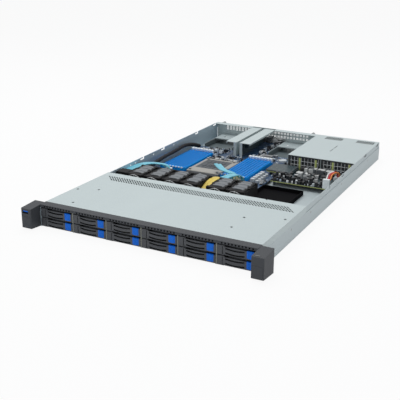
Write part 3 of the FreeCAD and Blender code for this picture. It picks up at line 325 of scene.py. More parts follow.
def board(name, ground, line, pad, scale=260.0):
    """Solder mask with fine traces, seen as cell edges, and bright pads strewn over it."""
    material = grained(name, ground, 0.42, drift=0.4, drift_scale=60, grain=0.2, bump=0.02)
    tree = material.node_tree
    shader = tree.nodes["Principled BSDF"]
    place = tree.nodes.new("ShaderNodeTexCoord")
    layers = (("DISTANCE_TO_EDGE", scale, TRACE_WIDTH, line),
              ("F1", scale * PAD_SCALE, PAD_SIZE, pad))
    for kind, size, limit, colour in layers:
        cells = tree.nodes.new("ShaderNodeTexVoronoi")
        cells.feature = kind
        cells.distance = "EUCLIDEAN"
        cells.inputs["Scale"].default_value = size
        tree.links.new(place.outputs["Object"], cells.inputs["Vector"])
        near = tree.nodes.new("ShaderNodeMath")
        near.operation = "LESS_THAN"
        near.inputs[1].default_value = limit
        tree.links.new(cells.outputs["Distance"], near.inputs[0])
        mix = tree.nodes.new("ShaderNodeMix")
        mix.data_type = "RGBA"
        mix.inputs["B"].default_value = (*colour, 1)
        tree.links.new(near.outputs[0], mix.inputs["Factor"])
        tree.links.new(shader.inputs["Base Color"].links[0].from_socket, mix.inputs["A"])
        tree.links.new(mix.outputs["Result"], shader.inputs["Base Color"])
    return material


def patched(name, colours, scale, roughness=0.45, metallic=0.0):
    """A different tone for each small part: cells of noise looked up in a list of colours."""
    material = grained(name, (1, 1, 1), roughness, metallic, bump=0.02)
    tree = material.node_tree
    shader = tree.nodes["Principled BSDF"]
    place = tree.nodes.new("ShaderNodeTexCoord")
    cells = tree.nodes.new("ShaderNodeTexVoronoi")
    cells.inputs["Scale"].default_value = scale
    tree.links.new(place.outputs["Object"], cells.inputs["Vector"])
    pick = tree.nodes.new("ShaderNodeSeparateColor")
    tree.links.new(cells.outputs["Color"], pick.inputs[0])
    ramp = tree.nodes.new("ShaderNodeValToRGB")
    ramp.color_ramp.interpolation = "CONSTANT"
    for step, colour in enumerate(colours):
        if step > 1:
            ramp.color_ramp.elements.new(step / len(colours))
        ramp.color_ramp.elements[step].position = step / len(colours)
        ramp.color_ramp.elements[step].color = (*colour, 1)
    tree.links.new(pick.outputs[0], ramp.inputs[0])
    tint = tree.nodes.new("ShaderNodeMix")
    tint.data_type = "RGBA"
    tint.blend_type = "MULTIPLY"
    tint.inputs["Factor"].default_value = 1.0
    tree.links.new(ramp.outputs[0], tint.inputs["A"])
    tree.links.new(shader.inputs["Base Color"].links[0].from_socket, tint.inputs["B"])
    tree.links.new(tint.outputs["Result"], shader.inputs["Base Color"])
    return material


zinc = grained("zinc_sheet", (0.525, 0.595, 0.60), 0.52, 0.25, drift=0.05, stretch=(1, 0.25, 1))
pan_zinc_lit_wall = grained("zinc_pan", (0.48, 0.545, 0.56), 0.50, 0.25, drift=0.05, stretch=(1, 0.25, 1))
# Painted light: the left wall's inner face, between x -218.35 and -217.2 mm, gets a lighter, bluer zinc,
# since it faces away from the lamps.
pan_zinc_lit_wall = colour_by_place(pan_zinc_lit_wall, 0, (-218.35, -217.2), (0.52, 0.64, 0.72))
divider_steel = grained("divider_steel", (0.36, 0.37, 0.30), 0.5, 0.25)
steel_bright = grained("steel_bright", (0.74, 0.77, 0.78), 0.4, 0.5)
steel_dark = grained("steel_dark", (0.10, 0.105, 0.11), 0.4, 0.6)
shade_black = grained("shade_black", (0.004, 0.004, 0.005), 0.8, gloss=0.1)
dark_paint = grained("dark_paint", (0.046, 0.050, 0.057), 0.6, bump=0.06, grain_scale=1500, gloss=0.4)
carrier_grey = grained("carrier_grey", (0.075, 0.079, 0.086), 0.55, bump=0.05, gloss=0.35)
# Painted shade: the carriers' front 9 mm, between y -3.4 and 5.9 mm, are near black for the shade in the
# slots behind the levers.
carrier_grey = colour_by_place(carrier_grey, 1, (-3.4, 5.9), (0.002, 0.002, 0.003))
catch_blue = grained("catch_blue", (0.006, 0.150, 0.70), 0.45, bump=0.02, gloss=0.2)
fan_black = grained("fan_black", (0.008, 0.008, 0.009), 0.65, bump=0.06, gloss=0.2)
fan_roof_grey = grained("fan_roof_grey", (0.17, 0.185, 0.20), 0.45, bump=0.15, grain_scale=500)
rubber_black = grained("rubber_black", (0.008, 0.008, 0.009), 0.7, bump=0.08, gloss=0.2)
board_blue = board("board_blue", (0.018, 0.048, 0.105), (0.03, 0.09, 0.19), (0.45, 0.47, 0.48))
board_dark = board("board_dark", (0.015, 0.028, 0.036), (0.05, 0.09, 0.10), (0.42, 0.44, 0.40))
part_mix = patched("part_mix", ((0.02, 0.02, 0.022), (0.30, 0.31, 0.32), (0.05, 0.052, 0.056),
                                (0.62, 0.63, 0.62), (0.10, 0.11, 0.12)), 70)
part_pale = patched("part_pale", ((0.85, 0.87, 0.88), (0.50, 0.56, 0.62), (0.90, 0.91, 0.90),
                                  (0.60, 0.68, 0.74), (0.34, 0.44, 0.56)), 120)
part_dark = patched("part_dark", ((0.010, 0.010, 0.012), (0.04, 0.04, 0.045), (0.018, 0.022, 0.03)), 90)
part_metal = patched("part_metal", ((0.60, 0.64, 0.66), (0.06, 0.065, 0.07), (0.40, 0.43, 0.45)),
                     90, 0.35, 0.5)
socket_steel = grained("socket_steel", (0.37, 0.36, 0.33), 0.45, 0.25)
tray_zinc_shaded_low = grained("tray_zinc_shaded_low", (0.43, 0.49, 0.50), 0.5, 0.25)
# Painted shade: the trays are dark from 0.5 to 13 mm above the floor, for the shade low down around the
# plates.
tray_zinc_shaded_low = colour_by_place(tray_zinc_shaded_low, 2, (0.5, 13.0), (0.11, 0.14, 0.15))
cover_dark = grained("cover_dark", (0.085, 0.095, 0.105), 0.55, bump=0.08, grain_scale=1300, gloss=0.35)
socket_blue = grained("socket_blue", (0.0, 0.34, 0.92), 0.5, bump=0.03, gloss=0.2)
slot_shade_blue = grained("slot_shade_blue", (0.0, 0.12, 0.42), 0.5, gloss=0.2)
latch_white = grained("latch_white", (0.88, 0.91, 0.92), 0.5)
tray_black = grained("tray_black", (0.004, 0.004, 0.005), 0.8, gloss=0.05)
sleeve_black = grained("sleeve_black", (0.010, 0.010, 0.012), 0.7, grain=0.4, grain_scale=700, bump=0.4,
                       gloss=0.3)
cable_black = grained("cable_black", (0.02, 0.02, 0.02), 0.6)
cable_red = grained("cable_red", (0.5, 0.06, 0.04), 0.5)
ribbon_cyan = grained("ribbon_cyan", (0.16, 0.56, 0.70), 0.3, drift=0.5, drift_scale=90, bump=0.05)
lead_yellow = grained("lead_yellow", (0.80, 0.60, 0.10), 0.45, drift=0.3, drift_scale=60)
wire_orange = grained("wire_orange", (0.75, 0.24, 0.04), 0.45)
wire_red = grained("wire_red", (0.60, 0.02, 0.03), 0.45)
wire_white = grained("wire_white", (0.80, 0.80, 0.78), 0.45)
tape_green = grained("tape_green", (0.56, 0.62, 0.22), 0.4)
edge_green = grained("edge_green", (0.46, 0.50, 0.16), 0.5)
screw_bronze = grained("screw_bronze", (0.30, 0.31, 0.31), 0.4, 0.5)
supply_steel = grained("supply_steel", (0.05, 0.053, 0.058), 0.5, 0.2)
tab_green = grained("tab_green", (0.02, 0.26, 0.16), 0.45)
key_grey = grained("key_grey", (0.12, 0.125, 0.13), 0.45)
print(len(bpy.data.materials), "finishes")


# %% Finishes on the frame
PALE_PARTS = (26.5, 62)
FINISH = {
    "zinc_steel": zinc, "dark_paint": dark_paint, "carrier_grey": carrier_grey,
    "fan_black": fan_black, "board_blue": board_blue, "board_green": board_dark,
    "component_mix": part_mix, "socket_steel": socket_steel, "socket_blue": socket_blue,
    "latch_white": latch_white, "tray_black": tray_black, "cable_black": cable_black,
    "cable_red": cable_red, "screw_bronze": screw_bronze, "supply_steel": supply_steel,
    "tab_green": tab_green, "key_grey": key_grey,
}
for part in frame["record"]["subparts"]:
    mesh = nodes[part["node"]].data
    mesh.materials.clear()
    mesh.materials.append(FINISH[part["material_slot"]])
nodes["chassis_pan"].data.materials[0] = pan_zinc_lit_wall
nodes["drive_cage"].data.materials[0] = divider_steel
nodes["ocp_trays"].data.materials[0] = tray_zinc_shaded_low
part_mix = colour_by_place(part_mix, 0, PALE_PARTS, (0.60, 0.64, 0.66))
print("finishes on", len(nodes), "nodes; chokes right of the sockets are paler")


# %% [markdown]
# ## Tools of the trade
# Most added pieces start as a primitive at its real place and size, are shaped in edit mode, and
# end with their place in the mesh. These few helpers keep that short. A repeated shape is made
# again by its function, or modelled once and copied, each copy with a mesh of its own.

# %% Helpers for modelling
def deselect():
    bpy.ops.object.select_all(action="DESELECT")


def settle(name):
    """Name the new primitive and put its place, turn and size into its mesh."""
    piece = bpy.context.object
    piece.name = name
    bpy.ops.object.transform_apply(location=True, rotation=True, scale=True)
    return piece


def block(name, x, y, z):
    """A cube between two places on each axis, in millimetres."""
    low = at(x[0], y[0], z[0])
    high = at(x[1], y[1], z[1])
    deselect()
    bpy.ops.mesh.primitive_cube_add(size=1, location=(low + high) / 2, scale=high - low)
    return settle(name)


def bar(name, place, radius, length, axis="Z", sides=20):
    """A cylinder about the given middle, along one axis."""
    turn = {"X": (0, math.pi / 2, 0), "Y": (math.pi / 2, 0, 0), "Z": (0, 0, 0)}[axis]
    deselect()
    bpy.ops.mesh.primitive_cylinder_add(vertices=sides, radius=radius * MM, depth=length * MM,
                                        location=at(*place), rotation=turn)
    return settle(name)


def ring(name, place, radius, wire):
    """A wire ring that faces the front."""
    deselect()
    bpy.ops.mesh.primitive_torus_add(location=at(*place), rotation=(math.pi / 2, 0, 0),
                                     major_segments=40, minor_segments=8,
                                     major_radius=radius * MM, minor_radius=wire * MM)
    return settle(name)


def activate(piece):
    deselect()
    piece.select_set(True)
    bpy.context.view_layer.objects.active = piece


def upward(centre, normal):
    return normal.z > 0.9


def frontward(centre, normal):
    return normal.y < -0.9


def every(centre, normal):
    return True


def pick(piece, test):
    """Enter edit mode with the faces selected whose middle and direction pass the test."""
    activate(piece)
    bpy.ops.object.mode_set(mode="EDIT")
    bpy.ops.mesh.select_mode(type="FACE")
    bpy.ops.mesh.select_all(action="DESELECT")
    bpy.ops.object.mode_set(mode="OBJECT")
    for face in piece.data.polygons:
        face.select = test(face.center, face.normal)
    bpy.ops.object.mode_set(mode="EDIT")


def pick_points(piece, test):
    """Enter edit mode with the points selected that pass the test."""
    activate(piece)
    bpy.ops.object.mode_set(mode="EDIT")
    bpy.ops.mesh.select_mode(type="VERT")
    bpy.ops.mesh.select_all(action="DESELECT")
    bpy.ops.object.mode_set(mode="OBJECT")
    for point in piece.data.vertices:
        point.select = test(point.co)
    bpy.ops.object.mode_set(mode="EDIT")


def leave():
    bpy.ops.object.mode_set(mode="OBJECT")


def sink(piece, test, border, depth):
    """Inset the chosen faces and push them in; a negative depth pulls them out."""
    pick(piece, test)
    bpy.ops.mesh.inset(thickness=border * MM, depth=-depth * MM)
    leave()


SHARP = 35


def soften(piece, width, segments=2):
    """Break the sharp edges, as every moulding and folded sheet has them broken."""
    activate(piece)
    edge = piece.modifiers.new("edge", "BEVEL")
    edge.width = width * MM
    edge.segments = segments
    edge.limit_method = "ANGLE"
    edge.angle_limit = math.radians(SHARP)
    bpy.ops.object.modifier_apply(modifier=edge.name)
    return piece


def copied(first, step):
    """A copy with its own mesh, moved by a step in millimetres."""
    copy = first.copy()
    copy.data = first.data.copy()
    bpy.context.collection.objects.link(copy)
    copy.data.transform(Matrix.Translation(Vector(step) * MM))
    return copy


def joined(name, parts):
    deselect()
    for part in parts:
        part.select_set(True)
    bpy.context.view_layer.objects.active = parts[0]
    if len(parts) > 1:
        bpy.ops.object.join()
    parts[0].name = name
    return parts[0]


def dress(piece, material, body="root", smooth=SHARP):
    """Give a piece its finish, even normals, and the body that it moves with."""
    activate(piece)
    piece.data.materials.clear()
    piece.data.materials.append(material)
    bpy.ops.object.mode_set(mode="EDIT")
    bpy.ops.mesh.select_all(action="SELECT")
    bpy.ops.mesh.normals_make_consistent(inside=False)
    leave()
    bpy.ops.object.shade_smooth_by_angle(angle=math.radians(smooth))
    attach(piece, body)
    return piece


print("helpers ready")


# %% [markdown]
# ## Where the bays are
# Twelve carriers stand in six columns and two rows. The pitch follows from the clear width
# between the side walls, and the two rows rest on the floor and on the shelf.

# %% Bay places
CLEAR_HALF = 217.4
COLUMNS = 6
DIVIDER = 0.8
CARRIER_PLAY = 0.2
BAY_PITCH = (2 * CLEAR_HALF + DIVIDER) / COLUMNS
ROWS = (19.9, 1.3)
bays = [(column * BAY_PITCH - CLEAR_HALF + CARRIER_PLAY, low) for low in ROWS
        for column in range(COLUMNS)]
print(len(bays), "bays, pitch", round(BAY_PITCH, 2), "mm")


# %% [markdown]
# ## Blue catches
# The catch at each lever's free end is a small rubbery-blue moulding with a crowned face and a
# thumb dimple. It is a cube whose front is subdivided and bowed out, with the middle of the face
# inset and pushed back, and all edges broken. Modelling one and copying it keeps all twelve alike.

# %% One catch
CATCH_LEFT, CATCH_WIDTH = 54.0, 12.6
CATCH_LOW, CATCH_HIGH = 2.6, 15.2
CATCH_FRONT, CATCH_BACK = -6.05, -3.1
SKIN = 0.14
BOWS = ((0, 1.55), (3.5, 1.3))
BOW_REACH = 0.6


def first_catch():
    left, low = bays[0]
    left += CATCH_LEFT
    catch = block("catch", (left - SKIN, left + CATCH_WIDTH + SKIN), (CATCH_FRONT, CATCH_BACK),
                  (low + CATCH_LOW - SKIN, low + CATCH_HIGH + SKIN))
    activate(catch)
    bpy.ops.object.mode_set(mode="EDIT")
    bpy.ops.mesh.select_all(action="SELECT")
    bpy.ops.mesh.subdivide(number_cuts=3)
    leave()
    middle = (left + CATCH_WIDTH / 2) * MM
    front = at(0, -6.0, 0).y
    for offset, bow in BOWS:
        pick_points(catch, lambda p: p.y < front
                    and abs(abs(p.x - middle) - offset * MM) < BOW_REACH * MM)
        bpy.ops.transform.translate(value=(0, -bow * MM, 0))
        leave()
    sink(catch, lambda c, n: n.y < -0.8 and abs(c.x - middle) < 3 * MM, 0.9, 0.3)
    return soften(catch, 0.25)


catch = first_catch()
catches = [catch] + [copied(catch, (left - bays[0][0], 0, low - bays[0][1])) for left, low in bays[1:]]
for number, piece in enumerate(catches, 1):
    piece.name = "catch_%02d" % number
    dress(piece, catch_blue, "carrier_lever_%02d" % number)
print(len(catches), "catches,", len(catch.data.polygons), "faces each")


# %% [markdown]
# ## The front cover
# The cover is one sheet of zinc-coated steel: a perforated band across its rear, two pressed
# beads, three notches in the rear edge and a lip down each side. The band is built like the
# tool that punches it: one cell with one slanted slot, arrayed into a row, three rows stepped
# sideways, so that the slots nearly line up. Plain planes fill the rest, and Solidify gives the
# whole sheet its gauge.

# %% Cover sheet
COVER_FRONT, COVER_BACK = 12.0, 217.0
BAND_FRONT, BAND_BACK = 173.6, 197.9
COVER_HALF = 219.0
GAUGE = 0.8
TOP = 43.5
CELL = (6.02, 8.1)
ROWS_OF_SLOTS = 3
CELLS = 66
CELLS_LEFT = 30
SLANT = 0.916
FIRST_SLOTS = (-19.07, -11.64, -4.24)
SLOT_BORDER = 0.4
SLOT_SHARE = 0.62
BEADS, BEAD_HALF, BEAD_DEPTH = (136.0, 163.0), 179, 0.8
BEAD_LINES = (0, 0.7, 1.7, 2.4)
NOTCHES, NOTCH_HALF, NOTCH_DEPTH = (-140, 0, 140), 2.2, 4.2
LIP_LOW = 30.5
WELD = 0.00002


def flat(name, x, y):
    """A level plane at the cover's top face."""
    deselect()
    low = at(x[0], y[0], TOP)
    high = at(x[1], y[1], TOP)
    bpy.ops.mesh.primitive_plane_add(size=1, location=(low + high) / 2)
    bpy.context.object.scale = (high.x - low.x, high.y - low.y, 1)
    return settle(name)


def punched_cell(x, y):
    """One cell of the band, slanted as a whole, with its slot left open."""
    cell = flat("cell", (x, x + CELL[0]), (y, y + CELL[1]))
    pick(cell, every)
    bpy.ops.mesh.inset(thickness=SLOT_BORDER * MM, depth=0)
    bpy.ops.transform.resize(value=(SLOT_SHARE, 1, 1))
    leave()
    front = at(x, y, TOP).y
    for point in cell.data.vertices:
        point.co.x -= SLANT * (point.co.y - front)
    pick(cell, lambda c, n: (c - cell.data.polygons[0].center).length < 0.2 * MM)
    bpy.ops.mesh.delete(type="FACE")
    leave()
    return cell


def punched_row(step):
    """A row of cells, with plain sheet filling both slanted ends."""
    y = BAND_BACK - (step + 1) * CELL[1]
    start = FIRST_SLOTS[step] - CELL[0] / 2 + SLANT * CELL[1] / 2 - CELLS_LEFT * CELL[0]
    row = punched_cell(start, y)
    activate(row)
    array = row.modifiers.new("row", "ARRAY")
    array.count = CELLS
    array.use_relative_offset = False
    array.use_constant_offset = True
    array.constant_offset_displace = (CELL[0] * MM, 0, 0)
    array.use_merge_vertices = True
    array.merge_threshold = WELD
    bpy.ops.object.modifier_apply(modifier=array.name)
    ends = [flat("end", (-COVER_HALF, start), (y, y + CELL[1])),
            flat("end", (start + CELLS * CELL[0], COVER_HALF), (y, y + CELL[1]))]
    back = at(0, y + CELL[1] / 2, TOP).y
    for end in ends:
        for point in end.data.vertices:
            if point.co.y > back and abs(point.co.x) < (COVER_HALF - 1) * MM:
                point.co.x -= SLANT * CELL[1] * MM
    return [row] + ends


def cut_across(piece, place, direction):
    """Cut a sheet's faces along a straight line, as a fold or punch line would be marked."""
    activate(piece)
    bpy.ops.object.mode_set(mode="EDIT")
    bpy.ops.mesh.select_all(action="SELECT")
    bpy.ops.mesh.bisect(plane_co=place, plane_no=direction)
    leave()


def front_sheet():
    """The plain part ahead of the band with its two pressed beads."""
    sheet = flat("front_sheet", (-COVER_HALF, COVER_HALF), (COVER_FRONT, BAND_FRONT))
    for x in (-BEAD_HALF, BEAD_HALF):
        cut_across(sheet, at(x, 0, 0), (1, 0, 0))
    for y in BEADS:
        for offset in BEAD_LINES:
            cut_across(sheet, at(0, y + offset, 0), (0, 1, 0))
        line = at(0, y + BEAD_LINES[-1] / 2, 0).y
        pick_points(sheet, lambda p: abs(p.y - line) < 0.7 * MM and abs(p.x) < (BEAD_HALF - 0.5) * MM)
        bpy.ops.transform.translate(value=(0, 0, -BEAD_DEPTH * MM))
        leave()
    return sheet


def rear_sheet():
    """The strip behind the band, with three notches in its edge."""
    sheet = flat("rear_sheet", (-COVER_HALF, COVER_HALF), (BAND_BACK, COVER_BACK))
    for x in NOTCHES:
        for offset in (-NOTCH_HALF, 0, NOTCH_HALF):
            cut_across(sheet, at(x + offset, 0, 0), (1, 0, 0))
        edge = at(x, COVER_BACK, TOP)
        pick_points(sheet, lambda p: (p - edge).length < 0.3 * MM)
        bpy.ops.transform.translate(value=(0, -NOTCH_DEPTH * MM, 0))
        leave()
    return sheet


parts = [front_sheet(), rear_sheet()]
for step in range(ROWS_OF_SLOTS):
    parts += punched_row(step)
cover = joined("cover_sheet", parts)
pick(cover, every)
bpy.ops.mesh.remove_doubles(threshold=0.00001)
bpy.ops.mesh.normals_make_consistent(inside=False)
leave()
if cover.data.polygons[0].normal.z < 0:
    pick(cover, every)
    bpy.ops.mesh.flip_normals()
    leave()
activate(cover)
gauge = cover.modifiers.new("gauge", "SOLIDIFY")
gauge.thickness = GAUGE * MM
gauge.offset = -1
bpy.ops.object.modifier_apply(modifier=gauge.name)
lips = [soften(block("lip", (side, side + GAUGE), (COVER_FRONT, COVER_BACK),
                     (LIP_LOW, TOP - GAUGE)), 0.15, 1)
        for side in (-COVER_HALF, COVER_HALF - GAUGE)]
cover = joined("cover_sheet", [cover] + lips)
cover.data.materials.clear()
cover.data.materials.append(zinc)
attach(cover, "root")
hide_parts("front_cover")
print("cover sheet,", len(cover.data.polygons), "faces")

# %% Film and baffle below the band: black sheets for painted shade
# The film and the baffle stand for what closes the room ahead of the fans; their black is painted shade
# that keeps the band's slots dark.
film = block("plenum_shade_film", (-216, 216), (114.5, 233), (0.85, 1.15))
sink(film, upward, 2.0, -0.3)
dress(film, shade_black, "root")
baffle = block("plenum_shade_baffle", (87.5, 216), (233.6, 234.8), (1.2, 34))
sink(baffle, frontward, 3.0, 0.3)
dress(soften(baffle, 0.2, 1), shade_black, "root")
print("black film and baffle close the room ahead of the fans")


# %% [markdown]
# ## Screw heads in the cover
# Six small pan heads sit in the cover. Each is a short cylinder whose top is inset and sunk for
# the driver, and whose rim is rounded.

# %% Cover screws
COVER_SCREWS = ((-171, 114), (-171, 31), (141.9, 110), (141.9, 58), (-209.5, 98), (209.5, 135))
HEAD_RADIUS, HEAD_THICK, HEAD_MIDDLE = 1.9, 0.7, 43.2


def screw_head(x, y):
    head = bar("head", (x, y, HEAD_MIDDLE), HEAD_RADIUS, HEAD_THICK, "Z", 16)
    sink(head, upward, 0.9, 0.3)
    return soften(head, 0.2)


heads = joined("cover_screw_heads", [screw_head(x, y) for x, y in COVER_SCREWS])
dress(heads, steel_dark, "root")
print("six screw heads")


# %% [markdown]
# ## Fans
# Each of the six fans is two impellers in one long frame. On top the frame has a crowned roof
# with lowered corners and three sunk fields, and a steel finger guard closes its mouth: two wire
# rings and four spokes. From the camera only the upper arcs of the rings show, as thin lines.

# %% Fan roofs and guards
FAN_CENTRES = (-168.0, -125.0, -82.0, -39.0, 20.8, 63.8)
FAN_FRONT, FAN_BACK = 236.0, 304.0
FAN_AXIS = 21.6
ROOF_HALF = 17.2
ROOF_FRONT, ROOF_BACK = 249, 298
ROOF_LOW, ROOF_HIGH = 40.6, 42.0
ROOF_CROWN, ROOF_FALL = 1.3, 3.2
CORNER_DROP = 1.6


def fan_roof(x):
    roof = block("roof", (x - ROOF_HALF, x + ROOF_HALF), (ROOF_FRONT, ROOF_BACK), (ROOF_LOW, ROOF_HIGH))
    activate(roof)
    bpy.ops.object.mode_set(mode="EDIT")
    bpy.ops.mesh.select_all(action="SELECT")
    bpy.ops.mesh.subdivide(number_cuts=7)
    leave()
    middle = at(x, (ROOF_FRONT + ROOF_BACK) / 2, 0)
    for point in roof.data.vertices:
        across = abs(point.co.x - middle.x) / MM
        along = abs(point.co.y - middle.y) / MM
        if point.co.z > (ROOF_HIGH - 0.5) * MM:
            point.co.z += (ROOF_CROWN - ROOF_FALL * (across / ROOF_HALF) ** 3) * MM
        if across > 12 and along > 22:
            point.co.z -= CORNER_DROP * MM
    waist = middle.y
    sink(roof, lambda c, n: n.z > 0.7 and abs(c.y - waist) < 4 * MM, 0.3, 0.9)
    sink(roof, lambda c, n: n.z > 0.7 and abs(abs(c.y - waist) - 14 * MM) < 2 * MM, 0.5, 0.7)
    return roof


GUARD_GAP = 1.2
GUARD_WIRE = 0.55
GUARD_RADII = (19.0, 12.5)


def finger_guard(x):
    ways = (-1, 1)
    mouth = FAN_FRONT - GUARD_GAP
    rings = [ring("guard", (x, mouth, FAN_AXIS), radius, GUARD_WIRE) for radius in GUARD_RADII]
    spokes = [bar("spoke", (x + 9 * way, FAN_FRONT - 1.0, FAN_AXIS), 0.5, 19, "X", 8) for way in ways]
    spokes += [bar("spoke", (x, mouth, FAN_AXIS + 10 * way), 0.9, 20, "Z", 8) for way in ways]
    return rings + spokes


CLIP_OFFSET, CLIP_HALF = 18.3, 1.9


def corner_clips(x):
    """The soft clips that hold a fan at its four upper corners."""
    clips = []
    for side in (-1, 1):
        for y in (FAN_FRONT + 1.5, FAN_BACK - 7.5):
            middle = x + side * CLIP_OFFSET
            clip = block("clip", (middle - CLIP_HALF, middle + CLIP_HALF), (y, y + 6), (38.2, 42.3))
            sink(clip, upward, 0.8, 0.8)
            clips.append(soften(clip, 0.3, 1))
    return clips


roofs = joined("fan_roofs", [fan_roof(x) for x in FAN_CENTRES])
dress(roofs, fan_roof_grey, "root")
guards = joined("fan_guards", [part for x in FAN_CENTRES for part in finger_guard(x)])
dress(guards, steel_bright, "root", 60)
clips = joined("fan_clips", [part for x in FAN_CENTRES for part in corner_clips(x)])
dress(clips, rubber_black, "root")
print("fan roofs", len(roofs.data.polygons), "guards", len(guards.data.polygons), "faces")


# %% [markdown]
# ## Processor cover
# The socket waits for its processor under a dark dust cover. The cover is a plate with a raised
# rim, a sunk field with ribs, and a round pad in the middle for lifting it off.

# %% Dust cover
CPU_X = (-119.2, -56.8)
CPU_Y = (416.3, 483.7)
COVER_LOW, RIM_HIGH = 15.1, 16.5
RIB_COUNT, RIB_PITCH, RIB_HALF = 5, 8.8, 0.6
CROSS_RIBS = (436, 464)


def dust_cover():
    plate = block("dust_cover", CPU_X, CPU_Y, (COVER_LOW, RIM_HIGH))
    sink(plate, upward, 3.0, -0.5)
    sink(plate, lambda c, n: n.z > 0.9 and c.z > at(0, 0, RIM_HIGH + 0.3).z, 2.2, 1.2)
    parts = [soften(plate, 0.3)]
    for step in range(1, RIB_COUNT + 1):
        x = CPU_X[0] + 5 + step * RIB_PITCH
        rib = block("rib", (x - RIB_HALF, x + RIB_HALF), (422.5, 477.5), (15.4, 16.6))
        parts.append(soften(rib, 0.2, 1))
    for y in CROSS_RIBS:
        rib = block("rib", (-113.5, -62.5), (y - RIB_HALF, y + RIB_HALF), (15.4, 16.5))
        parts.append(soften(rib, 0.2, 1))
    pad = bar("pad", (-88, 450, 16.2), 8.0, 2.0, "Z", 32)
    sink(pad, upward, 1.4, 0.6)
    parts.append(soften(pad, 0.3, 1))
    return joined("dust_cover", parts)


dress(dust_cover(), cover_dark, "root")
print("dust cover in the socket")


# %% [markdown]
# ## Small parts on the boards
# A server board carries hundreds of small parts. Three shapes are modelled once: a flat chip with
# a stepped top, an upright can with a rounded rim, and an open connector shell. Copies are
# scaled and strewn with a fixed seed over the free areas, keeping clear of the larger parts
# that the construction already has, and are joined by finish.

# %% Three small shapes
def chip_shape():
    chip = block("chip", (0, 1), (0, 1), (0, 1))
    sink(chip, upward, 0.12, -0.12)
    return chip


def can_shape():
    can = bar("can", (0.5, 0.5, 0.5), 0.5, 1.0, "Z", 8)
    sink(can, upward, 0.12, -0.05)
    return can


def shell_shape():
    shell = block("shell", (0, 1), (0, 1), (0, 1))
    sink(shell, upward, 0.14, 0.7)
    return shell


shapes = {"chip": chip_shape(), "can": can_shape(), "shell": shell_shape()}
shape_corner = at(0, 0, 0)
print("three shapes, faces:", [len(shape.data.polygons) for shape in shapes.values()])


# %% Strewing with a fixed seed
MAIN_TOP = 8.6
POWER_TOP = 11.6
TAKEN = [
    (-161, -65, 345, 361), (-5, 25, 361, 377), (-194, -132, 382, 545), (-42, 21, 382, 545),
    (-129, -42, 388, 494), (-125, -50, 497, 512), (-114, -84, 560, 730), (-78, -47, 560, 730),
    (-30, 2, 560, 593), (20, 42, 560, 586), (27, 48, 390, 456), (34, 94, 462, 522),
    (-205, -190, 330, 600), (-110, -24, 708, 730), (-5, 24, 380, 392),
]
POWER_TAKEN = [(101, 178, 436, 460), (101, 178, 468, 518), (62, 95, 462, 524), (182, 207, 416, 482)]
TRIES = 30
random.seed(41)


def strewn(shape, area, taken, count, base, sizes, heights):
    """Copies of a shape over an area, none of them on a taken place or on each other."""
    made = []
    places = list(taken)
    tries = 0
    while len(made) < count and tries < count * TRIES:
        tries += 1
        wide = random.uniform(*sizes)
        deep = wide if shape == "can" else random.uniform(*sizes)
        x = random.uniform(area[0], area[1] - wide)
        y = random.uniform(area[2], area[3] - deep)
        if any(x < p[1] and x + wide > p[0] and y < p[3] and y + deep > p[2] for p in places):
            continue
        places.append((x, x + wide, y, y + deep))
        copy = shapes[shape].copy()
        copy.data = shapes[shape].data.copy()
        bpy.context.collection.objects.link(copy)
        stretch = Matrix.Diagonal((wide, deep, random.uniform(*heights), 1))
        middle = Matrix.Translation(at(x, y, base))
        copy.data.transform(middle @ stretch @ Matrix.Translation(-shape_corner))
        made.append(copy)
    return made


AREAS = [(-210, 57, 338, 384), (-205, 57, 546, 605), (-112, -26, 606, 708), (44, 58, 386, 545),
         (-132, -122, 386, 540), (-48, -41, 386, 540), (-126, -48, 496, 545)]
pale, dark, metal = [], [], []
for number, area in enumerate(AREAS):
    room = (area[1] - area[0]) * (area[3] - area[2])
    pale += strewn("chip", area, TAKEN, int(room / 150), MAIN_TOP, (1.2, 3.2), (0.8, 2.0))
    dark += strewn("chip", area, TAKEN, int(room / 330), MAIN_TOP, (3.0, 7.0), (1.0, 2.2))
    metal += strewn("can", area, TAKEN, int(room / 700), MAIN_TOP, (4.0, 6.5), (3.5, 6.5))
    pale += strewn("shell", area, TAKEN, int(room / 1500), MAIN_TOP, (5.0, 10.0), (4.0, 8.0))
    dark += strewn("shell", area, TAKEN, int(room / 1700), MAIN_TOP, (5.0, 11.0), (3.0, 7.0))
power_area = (66, 206, 419, 521)
dark += strewn("can", power_area, POWER_TAKEN, 26, POWER_TOP, (5.5, 8.0), (8.0, 15.0))
metal += strewn("can", power_area, POWER_TAKEN, 18, POWER_TOP, (4.5, 6.5), (6.0, 11.0))
pale += strewn("chip", power_area, POWER_TAKEN, 60, POWER_TOP, (1.5, 4.5), (1.0, 5.0))
dark += strewn("chip", power_area, POWER_TAKEN, 30, POWER_TOP, (3.0, 8.0), (2.0, 7.0))
for shape in shapes.values():
    bpy.data.objects.remove(shape)
print(len(pale), "pale,", len(dark), "dark and", len(metal), "metal parts strewn")

# %% Joined by finish
for name, parts, material in (("parts_pale", pale, part_pale), ("parts_dark", dark, part_dark),
                              ("parts_metal", metal, part_metal)):
    dress(joined(name, parts), material, "root", 30)
print("three finishes of small parts")


# %% [markdown]
# ## Memory socket ends
# Each memory socket is a blue body with a white latch behind it. In front stands the tall blue
# tower with a white wedge in it. The wedges are small blocks with a chamfered top, one per
# socket. A strip of darker blue, painted shade, marks the slot along each body, and a cap with a
# sunk top sits on each latch.

# %% Wedges in the socket towers
BANKS = (-192.5, -39.95)
SOCKET_PITCH = 7.45
SOCKETS = 8
lefts = [left + step * SOCKET_PITCH for left in BANKS for step in range(SOCKETS)]


def wedge(x):
    piece = block("wedge", (x + 1.5, x + 5.3), (383.4, 385.9), (19.0, 21.6))
    sink(piece, upward, 0.5, -0.3)
    return soften(piece, 0.2, 1)


